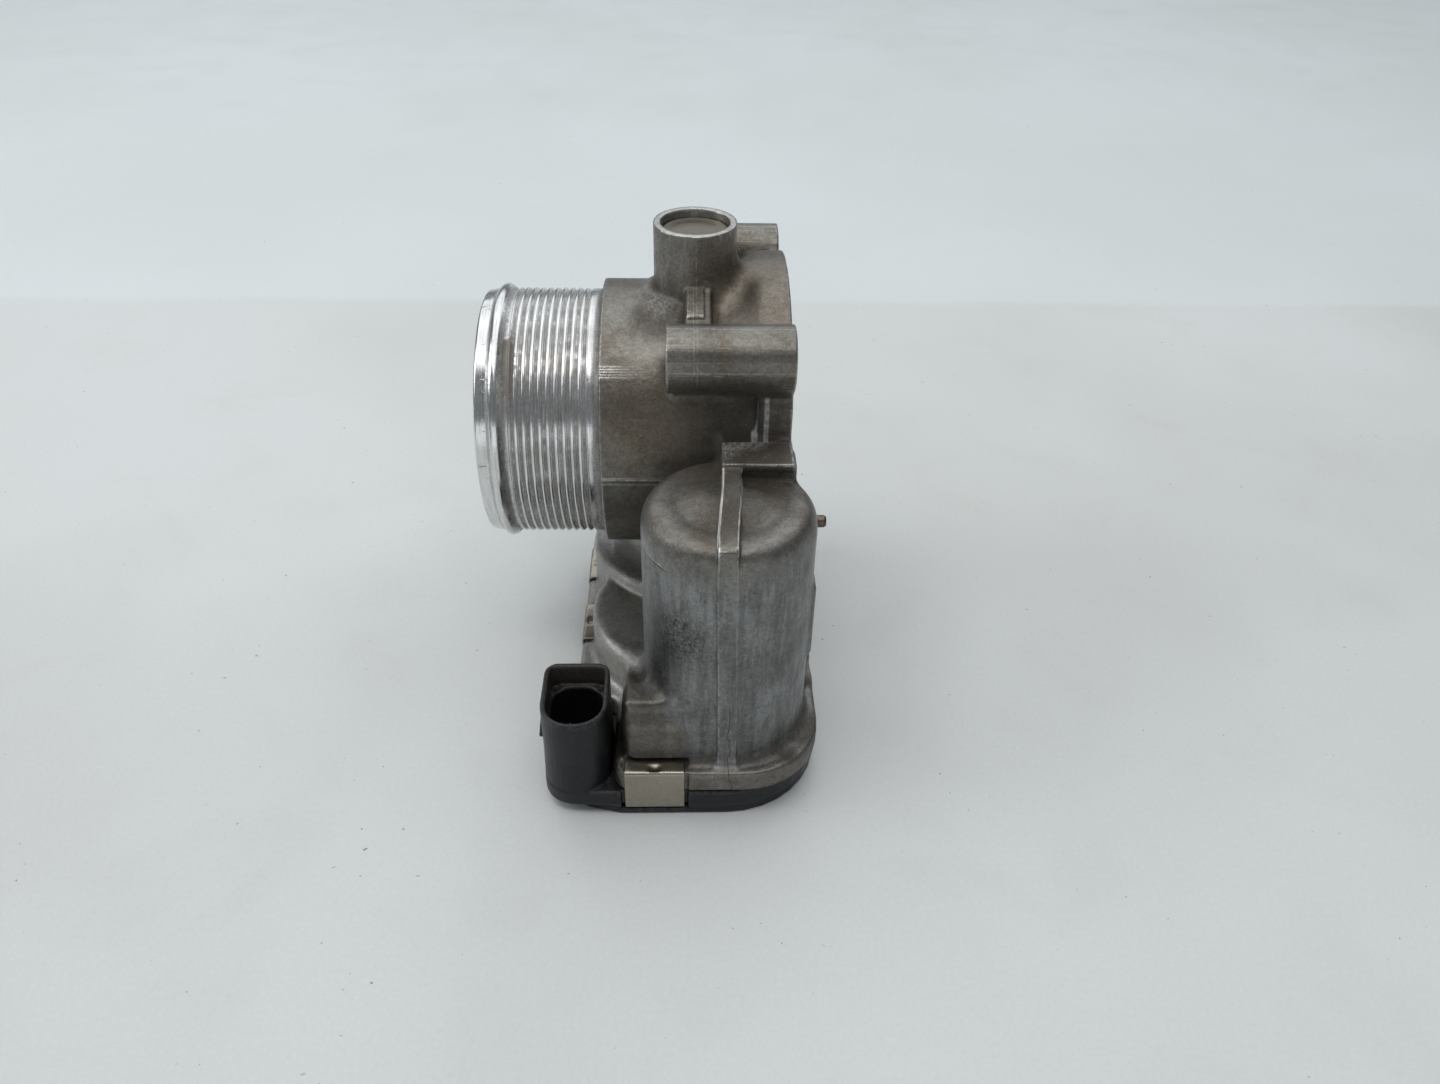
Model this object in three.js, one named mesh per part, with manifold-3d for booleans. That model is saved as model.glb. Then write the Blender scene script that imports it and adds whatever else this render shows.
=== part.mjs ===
// Electronic throttle body: a die-cast aluminium housing with a clipped-on plastic gear cover.
// Units are millimetres. +X is the way the air flows, from the hose spigot to the manifold flange.
// +Z runs up the throttle shaft. The origin is on the shaft's axis, in the cover's flat outer face.
import * as THREE from "three";
import { mergeVertices } from "three/addons/utils/BufferGeometryUtils.js";
import Module from "manifold-3d";

const wasm = await Module();
wasm.setup();

// ---------------------------------------------------------------- driving dimensions
const BORE_Z = 71; // height of the bore's axis over the cover's outer face
const BORE_R = 30;
const DUCT_R = 35.5;
const SPIGOT_X = -54.7; // hose end
const STEP_X = -23.5; // where the machined spigot meets the casting
const FLANGE_X = 23.3; // manifold face
const SPIGOT_R = 32.75;

const FLANGE_T = 8.3;
const FLANGE_R = 42;
const FLANGE_HALF_WIDTH = 36.5;
const FLANGE_BELOW = 40.8; // how far the flange reaches below the bore's axis
const BOLT_Y = 32.2;
const BOLT_Z = 32.5; // bolts lie at +-BOLT_Y, +-BOLT_Z from the bore's axis
const BOLT_HOLE_R = 3.3;
const SLEEVE_R = 8.1;
const SLEEVE_X = -7;

const TOP_BOSS_R = 10.5;
const TOP_BOSS_Z = 124.7;
const CAP_R = 8.6;

const MOTOR = [7.7, -56.8]; // axis of the motor barrel, parallel to the shaft
const BARREL_R = 20.65;
const BARREL_CAVITY_R = 18.2;
const SHOULDER_Z = 76.8;
const DOME_Z = 82.8;

const RIM_Z0 = 8; // joint between the housing and the cover
const RIM_Z1 = 14.4;
const EAR_SEAT_Z = 13.1; // where the motor's two ears rest
const ROOF_Z = 29;
const RIB_X = [6.4, 10.9]; // casting rib along the parting line of the barrel

const SHAFT_R = 4;
const SHAFT_Z0 = 7.5;
const SHAFT_Z1 = 118.4;
const PLATE_R = 29.7;
const PLATE_T = 1.8;
const REST_ANGLE = 8; // degrees the plate stands open in its default position
const BEARING_R = 7.4;

const CONNECTOR = { x: -29.75, y: -69.3, width: 16.6, depth: 22.2, top: 31, floor: 9.5, wall: 1.2 };

// Gear train: motor pinion -> intermediate gear pair -> toothed sector on the shaft.
const MODULE = 0.9;
const TEETH = { pinion: 10, wheel: 52, small: 14, sector: 52 };
const SECTOR_CUT = { from: -92, to: 22 }; // degrees of toothed arc either side of the mesh
const meshDistance = (a, b) => ((TEETH[a] + TEETH[b]) * MODULE) / 2;

const BODY = 32; // segments round a large cylinder
const SMALL = 20; // segments round a small one

// ---------------------------------------------------------------- shapes
const degrees = (d) => (d * Math.PI) / 180;

// A closed three.js geometry as a solid that can be cut and joined.
function solid(geometry) {
  const bare = geometry.clone();
  bare.deleteAttribute("normal");
  bare.deleteAttribute("uv");
  const merged = mergeVertices(bare, 1e-4);
  return new wasm.Manifold(
    new wasm.Mesh({
      numProp: 3,
      vertProperties: new Float32Array(merged.attributes.position.array),
      triVerts: new Uint32Array(merged.index.array),
    }),
  );
}

function geometryOf(body) {
  const mesh = body.getMesh();
  const count = mesh.vertProperties.length / mesh.numProp;
  const points = new Float32Array(count * 3);
  for (let i = 0; i < count; i++)
    points.set(mesh.vertProperties.subarray(i * mesh.numProp, i * mesh.numProp + 3), i * 3);
  const geometry = new THREE.BufferGeometry();
  geometry.setAttribute("position", new THREE.BufferAttribute(points, 3));
  geometry.setIndex(new THREE.BufferAttribute(mesh.triVerts, 1));
  geometry.computeVertexNormals();
  return geometry;
}

const join = (...bodies) => bodies.reduce((a, b) => a.add(b));
const cut = (body, ...tools) => tools.reduce((a, b) => a.subtract(b), body);

function box([x0, x1], [y0, y1], [z0, z1]) {
  const geometry = new THREE.BoxGeometry(x1 - x0, y1 - y0, z1 - z0);
  return solid(geometry.translate((x0 + x1) / 2, (y0 + y1) / 2, (z0 + z1) / 2));
}

// Upright cylinder, and one lying along X.
function post([x, y], r, z0, z1, segments = SMALL) {
  const geometry = new THREE.CylinderGeometry(r, r, z1 - z0, segments).rotateX(Math.PI / 2);
  return solid(geometry.translate(x, y, (z0 + z1) / 2));
}

function cone([x, y], r0, r1, z0, z1, segments = BODY) {
  const geometry = new THREE.CylinderGeometry(r1, r0, z1 - z0, segments).rotateX(Math.PI / 2);
  return solid(geometry.translate(x, y, (z0 + z1) / 2));
}

function tubeX([y, z], r, x0, x1, segments = SMALL) {
  const geometry = new THREE.CylinderGeometry(r, r, x1 - x0, segments).rotateZ(-Math.PI / 2);
  return solid(geometry.translate((x0 + x1) / 2, y, z));
}

// A ring round an upright axis.
const ring = (at, r0, r1, z0, z1, segments = SMALL) =>
  cut(post(at, r1, z0, z1, segments), post(at, r0, z0 - 1, z1 + 1, segments));

// Profiles are [radius, height] pairs from the axis, up the outside and back to the axis.
function turnZ(profile, [x, y], segments = BODY) {
  const points = profile.map(([r, z]) => new THREE.Vector2(r, z));
  return solid(new THREE.LatheGeometry(points, segments).rotateX(Math.PI / 2).translate(x, y, 0));
}

function turnX(profile, [y, z], segments = BODY) {
  const points = profile.map(([r, x]) => new THREE.Vector2(r, x));
  return solid(new THREE.LatheGeometry(points, segments).rotateZ(-Math.PI / 2).translate(0, y, z));
}

// A closed outline from corners [x, y, radius], each rounded by an arc.
function outline(corners, steps = 4) {
  const points = [];
  corners.forEach(([x, y, r], i) => {
    const here = new THREE.Vector2(x, y);
    const before = corners[(i + corners.length - 1) % corners.length];
    const after = corners[(i + 1) % corners.length];
    const u = new THREE.Vector2(before[0], before[1]).sub(here).normalize();
    const v = new THREE.Vector2(after[0], after[1]).sub(here).normalize();
    const half = Math.acos(THREE.MathUtils.clamp(u.dot(v), -1, 1)) / 2;
    const middle = u.clone().add(v).normalize().multiplyScalar(r / Math.sin(half)).add(here);
    const start = u.clone().multiplyScalar(r / Math.tan(half)).add(here).sub(middle);
    const end = v.clone().multiplyScalar(r / Math.tan(half)).add(here).sub(middle);
    const sweep = Math.atan2(start.cross(end), start.dot(end));
    for (let k = 0; k <= steps; k++) {
      const arm = start.clone().rotateAround(new THREE.Vector2(), (sweep * k) / steps);
      points.push(middle.clone().add(arm));
    }
  });
  return points;
}

// The same corners moved inwards by d. They run counter-clockwise.
function inset(corners, d) {
  return corners.map(([x, y, r], i) => {
    const before = corners[(i + corners.length - 1) % corners.length];
    const after = corners[(i + 1) % corners.length];
    const u = new THREE.Vector2(x - before[0], y - before[1]).normalize();
    const v = new THREE.Vector2(after[0] - x, after[1] - y).normalize();
    const inwards = new THREE.Vector2(-u.y - v.y, u.x + v.x).normalize();
    const reach = d / inwards.dot(new THREE.Vector2(-u.y, u.x));
    const radius = Math.max(0.4, r - Math.sign(u.cross(v)) * d);
    return [x + inwards.x * reach, y + inwards.y * reach, radius];
  });
}

function slab(points, z0, z1) {
  const geometry = new THREE.ExtrudeGeometry(new THREE.Shape(points), {
    depth: z1 - z0,
    bevelEnabled: false,
  });
  return solid(geometry.translate(0, 0, z0));
}

// A plate of the given [y, z] corners, standing across X.
function slabX(corners, x0, x1) {
  const points = corners.map(([y, z]) => new THREE.Vector2(y, z));
  const geometry = new THREE.ExtrudeGeometry(new THREE.Shape(points), {
    depth: x1 - x0,
    bevelEnabled: false,
  });
  // Turned so that the drawing's axes become Y and Z.
  const turn = new THREE.Matrix4().set(0, 0, 1, x0, 1, 0, 0, 0, 0, 1, 0, 0, 0, 0, 0, 1);
  return solid(geometry.applyMatrix4(turn));
}

// A bar with round ends between two points.
function slot([x0, y0], [x1, y1], r, z0, z1) {
  const along = new THREE.Vector2(x1 - x0, y1 - y0).normalize().multiplyScalar(r);
  const side = new THREE.Vector2(-along.y, along.x);
  const corner = (x, y, s, t) => [x + along.x * s + side.x * t, y + along.y * s + side.y * t, r * 0.99];
  const corners = [
    corner(x0, y0, -1, -1),
    corner(x1, y1, 1, -1),
    corner(x1, y1, 1, 1),
    corner(x0, y0, -1, 1),
  ];
  return slab(outline(corners, 4), z0, z1);
}

const about = ([x, y], radius, angle) => [
  x + radius * Math.cos(degrees(angle)),
  y + radius * Math.sin(degrees(angle)),
];

// ---------------------------------------------------------------- gears
// Where the circle of radius a about p meets that of radius b about q, on the -X side.
function meetingPoint(p, a, q, b) {
  const from = new THREE.Vector2(...p);
  const line = new THREE.Vector2(...q).sub(from);
  const d = line.length();
  const along = (a * a - b * b + d * d) / (2 * d);
  const off = Math.sqrt(a * a - along * along);
  line.normalize();
  const side = new THREE.Vector2(line.y, -line.x).multiplyScalar(off);
  const at = line.multiplyScalar(along).add(from).add(side);
  return [at.x, at.y];
}

const SHAFT = [0, 0];
const IDLER = meetingPoint(SHAFT, meshDistance("small", "sector"), MOTOR, meshDistance("pinion", "wheel"));
const bearingOf = (p, q) => THREE.MathUtils.radToDeg(Math.atan2(q[1] - p[1], q[0] - p[0]));

// Straight-sided teeth on involute tooth thicknesses, thinned for backlash. The first is centred at
// angle phase, in degrees.
function toothPoints(teeth, phase, from = 0, to = teeth) {
  const pitch = (teeth * MODULE) / 2;
  const tip = pitch + 0.75 * MODULE;
  const root = pitch - 1.15 * MODULE;
  const halfPitch = (0.42 * Math.PI) / teeth;
  const lean = Math.tan(degrees(20)) / pitch;
  const tipHalf = halfPitch - (tip - pitch) * lean;
  const rootHalf = halfPitch + (pitch - root) * lean;
  const points = [];
  for (let i = from; i < to; i++) {
    const centre = degrees(phase) + (i * 2 * Math.PI) / teeth;
    points.push([root, centre - rootHalf], [tip, centre - tipHalf]);
    points.push([tip, centre + tipHalf], [root, centre + rootHalf]);
  }
  return points.map(([r, a]) => new THREE.Vector2(r * Math.cos(a), r * Math.sin(a)));
}

const gear = (teeth, phase, [x, y], z0, z1) =>
  slab(toothPoints(teeth, phase), z0, z1).translate([x, y, 0]);

// ---------------------------------------------------------------- housing
const rimCorners = (frontRadius) => [
  [-20.5, -81.1, 5],
  [32, -81.1, frontRadius],
  [32, 34, 18],
  [-31.5, 34, 18],
  [-31.5, -54, 5],
  [-20.5, -54, 2],
];
const COVER_CORNER_R = 24.3;
const RIM = rimCorners(20);
const SEAL_LINE = rimCorners(COVER_CORNER_R); // the cover is rounder than the rim at the motor's corner

const MOTOR_EARS = [about(MOTOR, 21.5, 186), about(MOTOR, 21.5, 30)];
const CLIP_LENGTH = 14.9;
const CLIP_SHEET = 0.6;
const CLIP_OUT = 0.25; // how far its outer face stands proud of the rim
const CLIP_REACH = 5; // over the rim
const CLIP_REACH_UNDER = 3.4; // into its slot in the cover
const CLIP_TOP = 15.1;
const CLIP_FOOT = 2.2;
const CLIP_ROOM = 0.3;
// Where each cover clip sits on the rim: its middle, and the way it faces in degrees.
const CLIPS = {
  front: { at: [-10.2, -81.1], facing: -90 },
  left_front: { at: [-31.5, -23.5], facing: 180 },
  left_rear: { at: [-31.5, 4], facing: 180 },
  rear: { at: [0, 34], facing: 90 },
  right_rear: { at: [32, 4], facing: 0 },
  right_front: { at: [32, -29], facing: 0 },
};

// Turns a body drawn at the origin, facing -Y, to a clip's place.
const atClip = (body, { at: [x, y], facing }) => body.rotate([0, 0, facing + 90]).translate([x, y, 0]);

// The recess and the slots that each clip lies in, cut from the rim and from the cover.
function clipRooms() {
  const across = [-CLIP_LENGTH / 2 - 0.9, CLIP_LENGTH / 2 + 0.9];
  const back = CLIP_SHEET - CLIP_OUT + CLIP_ROOM;
  const aboveArm = [CLIP_TOP - CLIP_SHEET - CLIP_ROOM, CLIP_TOP + 0.6];
  const aroundFoot = [CLIP_FOOT - CLIP_ROOM, CLIP_FOOT + CLIP_SHEET + CLIP_ROOM];
  return Object.values(CLIPS).flatMap((place) => [
    atClip(box(across, [-2, back], [CLIP_FOOT - CLIP_ROOM, CLIP_TOP]), place),
    atClip(box(across, [-2, CLIP_REACH + CLIP_ROOM], aboveArm), place),
    atClip(box(across, [-2, CLIP_REACH_UNDER + CLIP_ROOM], aroundFoot), place),
  ]);
}

function spigotProfile() {
  const rib = { first: -44.2, pitch: 1.97, count: 9, root: 32.2, crest: 32.95 };
  const points = [
    [0, SPIGOT_X],
    [31.8, SPIGOT_X],
    [32.5, SPIGOT_X + 0.6],
    [33.1, -51.1],
    [34.1, -50.2],
    [34.1, -49],
    [32.4, -47.7],
    [32.4, -46.1],
    [31.9, -45.6],
  ];
  for (let i = 0; i < rib.count; i++) {
    const x = rib.first + i * rib.pitch;
    points.push([rib.root, x - rib.pitch / 2], [rib.crest, x]);
  }
  points.push([rib.root, rib.first + (rib.count - 0.5) * rib.pitch], [SPIGOT_R, -26.9]);
  points.push([SPIGOT_R, STEP_X + 1], [0, STEP_X + 1]);
  return points;
}

function flange() {
  const disc = tubeX([0, BORE_Z], FLANGE_R, FLANGE_X - FLANGE_T, FLANGE_X, 40);
  const band = box(
    [FLANGE_X - FLANGE_T - 1, FLANGE_X + 1],
    [-FLANGE_HALF_WIDTH, FLANGE_HALF_WIDTH],
    [BORE_Z - FLANGE_BELOW, BORE_Z + FLANGE_R],
  );
  return disc.intersect(band);
}

// The duct's wall thickens towards the flange above the upper bolt sleeves.
function flare() {
  const profile = [[0, 1], [36, 1], [39.3, 8], [41.6, 15.5], [0, 15.5]];
  const band = box([0, 20], [-FLANGE_HALF_WIDTH, FLANGE_HALF_WIDTH], [BORE_Z + 27, BORE_Z + FLANGE_R]);
  return turnX(profile, [0, BORE_Z], 40).intersect(band);
}

// Bolt sleeve with the web that ties it to the duct. side and up are +1 or -1.
function sleeve(side, up) {
  const at = [side * BOLT_Y, BORE_Z + up * BOLT_Z];
  const outwards = new THREE.Vector2(side * BOLT_Y, up * BOLT_Z).normalize();
  const across = new THREE.Vector2(-outwards.y, outwards.x).multiplyScalar(4.5);
  const corner = (radius, s) => [
    outwards.x * radius + across.x * s,
    BORE_Z + outwards.y * radius + across.y * s,
  ];
  const web = slabX([corner(30, -1), corner(44, -1), corner(44, 1), corner(30, 1)], -4, FLANGE_X);
  return join(tubeX(at, SLEEVE_R, SLEEVE_X, FLANGE_X, 24), web);
}

function barrel() {
  // The closed end has a raised middle, a shallow valley and a rounded shoulder.
  const end = [
    [BARREL_R, SHOULDER_Z - 3],
    [20.2, SHOULDER_Z],
    [18.9, SHOULDER_Z + 1.9],
    [17, SHOULDER_Z + 2.9],
    [11.8, SHOULDER_Z + 3.2],
    [7, DOME_Z - 0.5],
    [0, DOME_Z],
  ];
  return turnZ([[0, 10], [BARREL_R, 10], ...end], MOTOR, 36);
}

// Rib over the dome and down the barrel's front, with the bar that ties it to the flange.
function barrelRib() {
  const front = MOTOR[1] - BARREL_R;
  const overDome = slabX(
    [
      [-44, 78],
      [-44, 84.7],
      [-49, 84.7],
      [front + 0.6, 80.8],
      [front - 0.4, 79.8],
      [front - 0.4, RIM_Z0 + 1],
      [front + 4, RIM_Z0 + 1],
      [front + 4, 76],
    ].reverse(),
    ...RIB_X,
  );
  // The bar overhangs a wall that comes down to the barrel's end.
  const bar = slabX(
    [[-48.8, 82.9], [-47.4, 82.4], [-47.4, 77], [-36, 76], [-38.6, 84.7], [-48.8, 84.7]],
    RIB_X[0],
    FLANGE_X,
  );
  const lug = box([FLANGE_X - 2.9, FLANGE_X], [-48.2, -30], [54, 84.6]);
  return join(overDome, bar, lug);
}

function gearCase() {
  const rim = slab(outline(RIM), RIM_Z0, RIM_Z1);
  const idlerLobe = post(IDLER, 29.2, RIM_Z0 + 1, ROOF_Z - 3, 36);
  const sectorLobe = join(
    post(SHAFT, 29.2, RIM_Z0 + 1, ROOF_Z, 36),
    cone(SHAFT, 26, 18.5, ROOF_Z - 0.01, 37, 36),
  );
  const contactBox = join(
    box([-17.7, 4], [-76.6, -48], [RIM_Z0 + 1, ROOF_Z - 1]),
    box([-17.4, 4], [-73.3, -48], [ROOF_Z - 2, ROOF_Z + 2.4]),
  );
  const neck = box([-17, 17], [-24, 24], [ROOF_Z - 2, 45]);
  const web = box([2, 13], [-42, -24], [ROOF_Z - 2, 70]);
  const screwBoss = post(MOTOR_EARS[1], 4.6, RIM_Z0 + 1, 23);
  return join(rim, idlerLobe, sectorLobe, contactBox, neck, web, screwBoss);
}

function topRib() {
  const wall = (side) => {
    const corners = [
      [side * 8, 112.4],
      [side * 8, 100],
      [side * 28, 92],
      [side * 34, 104],
      [side * 20, 108.6],
    ];
    return slabX(side < 0 ? corners : corners.reverse(), -2.2, 3.7);
  };
  return join(wall(-1), wall(1));
}

function housingCavities() {
  const bore = tubeX([0, BORE_Z], BORE_R, SPIGOT_X - 5, FLANGE_X + 5, 36);
  const ears = MOTOR_EARS.map((ear) => slot(MOTOR, ear, 4.3, RIM_Z0 - 1, EAR_SEAT_Z));
  const earScrews = MOTOR_EARS.map((ear) => post(ear, 1.8, EAR_SEAT_Z - 1, 20, 12));
  const boltHole = (side, up) =>
    tubeX([side * BOLT_Y, BORE_Z + up * BOLT_Z], BOLT_HOLE_R, SLEEVE_X - 1, FLANGE_X + 1, 16);
  const bolts = [boltHole(-1, 1), boltHole(1, 1), boltHole(-1, -1), boltHole(1, -1)];
  return [
    bore,
    post(SHAFT, 25.4, RIM_Z0 - 1, 25.5, 36),
    post(IDLER, 24.9, RIM_Z0 - 1, 20, 36),
    post(MOTOR, BARREL_CAVITY_R, RIM_Z0 - 1, 78, 36),
    post(MOTOR, 5.5, 77, 81.5),
    box([-15, 0], [-72.8, -64.5], [RIM_Z0 - 1, 26]),
    post(SHAFT, SHAFT_R + 1, 20, 119), // clearance round the shaft
    post(SHAFT, BEARING_R + 0.1, 24, 39.5, 24),
    post(SHAFT, BEARING_R + 0.1, 103.5, 119, 24),
    post(SHAFT, CAP_R, 118, TOP_BOSS_Z + 1, 28),
    post(IDLER, 2.1, 19, 24.5, 16),
    tubeX([-38, 60.8], 1.8, 17, FLANGE_X + 1, 12), // locating pin's hole
    ...ears,
    ...earScrews,
    ...bolts,
    ...clipRooms(),
  ];
}

function housing() {
  const casting = join(
    tubeX([0, BORE_Z], DUCT_R, STEP_X, FLANGE_X, 40),
    turnX(spigotProfile(), [0, BORE_Z], 28),
    flange(),
    flare(),
    sleeve(-1, 1),
    sleeve(1, 1),
    sleeve(-1, -1),
    sleeve(1, -1),
    post(SHAFT, TOP_BOSS_R, 95, TOP_BOSS_Z, 28),
    topRib(),
    barrel(),
    barrelRib(),
    gearCase(),
  );
  // The notch where the contact box, lobes and rim leave room for the connector tower.
  const notch = box([-40, -20.5], [-85, -57], [RIM_Z0 - 1, ROOF_Z + 1]);
  return cut(casting, notch, ...housingCavities());
}

// ---------------------------------------------------------------- cover
const COVER_FOOT = [
  [-31.5, -78, 7],
  [-19, -81.1, 12],
  [32, -81.1, COVER_CORNER_R],
  [32, 34, 18],
  [-31.5, 34, 18],
];
const COVER = [
  [-38.3, -80.6, 8],
  [-20, -81.1, 20],
  [32, -81.1, COVER_CORNER_R],
  [32, 34, 18],
  [-31.5, 34, 18],
  [-31.5, -52, 5],
  [-38.3, -55, 4],
];
const COVER_TOP = RIM_Z0 - 0.25;
const SHELF_Z = 3; // underside of the shelf that carries the connector

function terminalPlaces() {
  const places = [];
  for (const row of [-1, 1])
    for (const k of [-1, 0, 1]) places.push([CONNECTOR.x + row * 2.6, CONNECTOR.y + k * 5]);
  return places;
}

function cover() {
  const { x, y, width, depth, top, floor, wall } = CONNECTOR;
  // The tower's front end is nearly half round, and its back corners are tighter.
  const plan = (inwards) =>
    outline([
      [x - width / 2 + inwards, y - depth / 2 + inwards, 7.9 - inwards],
      [x + width / 2 - inwards, y - depth / 2 + inwards, 7.9 - inwards],
      [x + width / 2 - inwards, y + depth / 2 - inwards, 3.6 - inwards],
      [x - width / 2 + inwards, y + depth / 2 - inwards, 3.6 - inwards],
    ]);
  const tower = slab(plan(0), SHELF_Z, top);
  const socket = slab(plan(wall), floor, top + 1);
  const shelf = slab(outline(COVER), SHELF_Z, COVER_TOP);
  const foot = slab(outline(COVER_FOOT), 0, COVER_TOP);
  const hollow = slab(outline(inset(RIM, 4.4)), 2.4, COVER_TOP + 1);
  const groove = cut(
    slab(outline(inset(SEAL_LINE, 1.2)), RIM_Z0 - 1.6, COVER_TOP + 1),
    slab(outline(inset(SEAL_LINE, 3.2)), RIM_Z0 - 2, COVER_TOP + 2),
  );
  const pins = terminalPlaces().map(([px, py]) =>
    box([px - 0.7, px + 0.7], [py - 1.05, py + 1.05], [7.2, floor + 1]),
  );
  // The catch on the tower's side that holds the plug.
  const catchBar = box([x - width / 2 - 1.3, x - width / 2 + 0.5], [y - 2.5, y + 2.5], [18, 27.5]);
  return cut(join(foot, shelf, tower, catchBar), hollow, groove, socket, ...pins, ...clipRooms());
}

function coverSeal() {
  return cut(
    slab(outline(inset(SEAL_LINE, 1.5)), RIM_Z0 - 1.3, RIM_Z0 - 0.05),
    slab(outline(inset(SEAL_LINE, 2.9)), RIM_Z0 - 2, RIM_Z0 + 1),
  );
}

// A sheet-metal clip drawn at the origin, facing -Y: over the rim, down its side, under the cover.
function clip() {
  const across = [-CLIP_LENGTH / 2, CLIP_LENGTH / 2];
  const over = box(across, [-CLIP_OUT, CLIP_REACH], [CLIP_TOP - CLIP_SHEET, CLIP_TOP]);
  const side = box(across, [-CLIP_OUT, CLIP_SHEET - CLIP_OUT], [CLIP_FOOT, CLIP_TOP]);
  const under = box(across, [-CLIP_OUT, CLIP_REACH_UNDER], [CLIP_FOOT, CLIP_FOOT + CLIP_SHEET]);
  return join(over, side, under);
}

// ---------------------------------------------------------------- throttle shaft and plate
function shaft() {
  const rod = post(SHAFT, SHAFT_R, SHAFT_Z0, SHAFT_Z1, 24);
  const halfSlit = PLATE_T / 2 + 0.15;
  const slitReach = PLATE_R + 0.4;
  const slit = box([-halfSlit, halfSlit], [-5, 5], [BORE_Z - slitReach, BORE_Z + slitReach]);
  const screws = [-1, 1].map((s) => tubeX([0, BORE_Z + s * 12], 1.85, -6, 6, 12));
  const drive = box([2.9, 6], [-6, 6], [SHAFT_Z0 - 1, 18]);
  return cut(rod, slit, drive, ...screws).rotate([0, 0, REST_ANGLE]);
}

function plate() {
  const disc = tubeX([0, BORE_Z], PLATE_R, -PLATE_T / 2, PLATE_T / 2, 36);
  const screws = [-1, 1].map((s) => tubeX([0, BORE_Z + s * 12], 1.85, -6, 6, 12));
  return cut(disc, ...screws).rotate([0, 0, REST_ANGLE]);
}

function plateScrew(s) {
  const at = [0, BORE_Z + s * 12];
  const head = tubeX(at, 3, -6.2, -SHAFT_R - 0.05, 16);
  return join(tubeX(at, 1.5, -SHAFT_R - 1, SHAFT_R + 0.4, 12), head).rotate([0, 0, REST_ANGLE]);
}

function sectorGear() {
  const mesh = bearingOf(SHAFT, IDLER);
  const step = 360 / TEETH.sector;
  // The gap between two teeth faces the intermediate gear.
  const phase = mesh + step / 2;
  const from = Math.round(SECTOR_CUT.from / step);
  const to = Math.round(SECTOR_CUT.to / step);
  const arc = toothPoints(TEETH.sector, phase, from, to);
  const web = slab([...arc, new THREE.Vector2(3, 8), new THREE.Vector2(-6, 7)], 12, 17.6);
  const hub = post(SHAFT, 9, 11.4, 17.6, 24);
  const flat = box([3.05, 6], [-6, 6], [5, 20]).rotate([0, 0, REST_ANGLE]);
  const bore = cut(post(SHAFT, SHAFT_R + 0.1, 6, 18.6, 24), flat);
  return cut(join(web, hub), bore);
}

function sensorTarget() {
  const lobes = [0, 120, 240].map((a) => slot(SHAFT, about(SHAFT, 9.5, a + 20), 3.6, 5.4, 6.5));
  return cut(join(post(SHAFT, 7, 5.4, 6.5), ...lobes), post(SHAFT, 3, 4, 8));
}

// The spring's coils round the shaft, with a leg at each end.
function returnSpring() {
  const radius = 11.5;
  const turns = 3.25;
  const wire = 0.75;
  const z0 = 18.2;
  const pitch = 1.62;
  const points = [];
  const steps = Math.round(turns * 12);
  for (let i = 0; i <= steps; i++) {
    const t = i / steps;
    const [x, y] = about(SHAFT, radius, t * turns * 360);
    points.push(new THREE.Vector3(x, y, z0 + wire + t * turns * pitch));
  }
  points.unshift(new THREE.Vector3(radius + 1.5, -7, z0 + wire));
  const last = points.at(-1);
  points.push(new THREE.Vector3(last.x - 2, last.y - 7, last.z));
  const path = new THREE.CatmullRomCurve3(points);
  const section = new THREE.Shape();
  for (let i = 0; i < 6; i++) {
    const [x, y] = about([0, 0], wire, i * 60);
    if (i) section.lineTo(x, y);
    else section.moveTo(x, y);
  }
  const wireShape = new THREE.ExtrudeGeometry(section, { steps: steps + 6, extrudePath: path });
  return solid(wireShape);
}

// ---------------------------------------------------------------- gears, motor and sensor
function intermediateGear() {
  const toMotor = bearingOf(IDLER, MOTOR);
  const toShaft = bearingOf(IDLER, SHAFT);
  const wheel = gear(TEETH.wheel, toMotor, IDLER, 7.2, 10.8);
  const small = gear(TEETH.small, toShaft, IDLER, 10.7, 18.4);
  return cut(join(wheel, small), post(IDLER, 2.08, 5, 20, 16));
}

const idlerPin = () => post(IDLER, 2, 5.2, 24.3, 16);

function pinion() {
  const phase = bearingOf(MOTOR, IDLER) + 180 / TEETH.pinion;
  return cut(gear(TEETH.pinion, phase, MOTOR, 6, 10.2), post(MOTOR, 1.7, 4, 14, 14));
}

function motorCan() {
  const outer = join(post(MOTOR, 17.7, 16.4, 74.5, 36), post(MOTOR, 4.6, 74, 80));
  return cut(outer, post(MOTOR, 15.9, 15, 73, 36), post(MOTOR, 2.2, 72, 79));
}

function motorEndBell() {
  const disc = join(post(MOTOR, 17.7, 13.3, 16.2, 36), post(MOTOR, 15.5, 16.1, 18.4, 32));
  const arms = MOTOR_EARS.map((ear) => slot(MOTOR, ear, 3.9, 11.2, 13));
  const middle = post(MOTOR, 12, 11.2, 13.4, 24);
  const holes = MOTOR_EARS.map((ear) => post(ear, 1.8, 10, 20, 12));
  const brushes = brushPlaces().map((p) => post(p, 2.4, 15.4, 20, 12));
  const terminals = terminalsOfMotor().map(([x, y]) =>
    box([x - 0.8, x + 0.8], [y - 1.8, y + 1.8], [10, 14.4]),
  );
  return cut(join(disc, middle, ...arms), post(MOTOR, 2.2, 10, 20), ...holes, ...brushes, ...terminals);
}

const brushPlaces = () => [0, 180].map((a) => about(MOTOR, 8.6, a));
const terminalsOfMotor = () => [230, 310].map((a) => about(MOTOR, 9.5, a));

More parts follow.
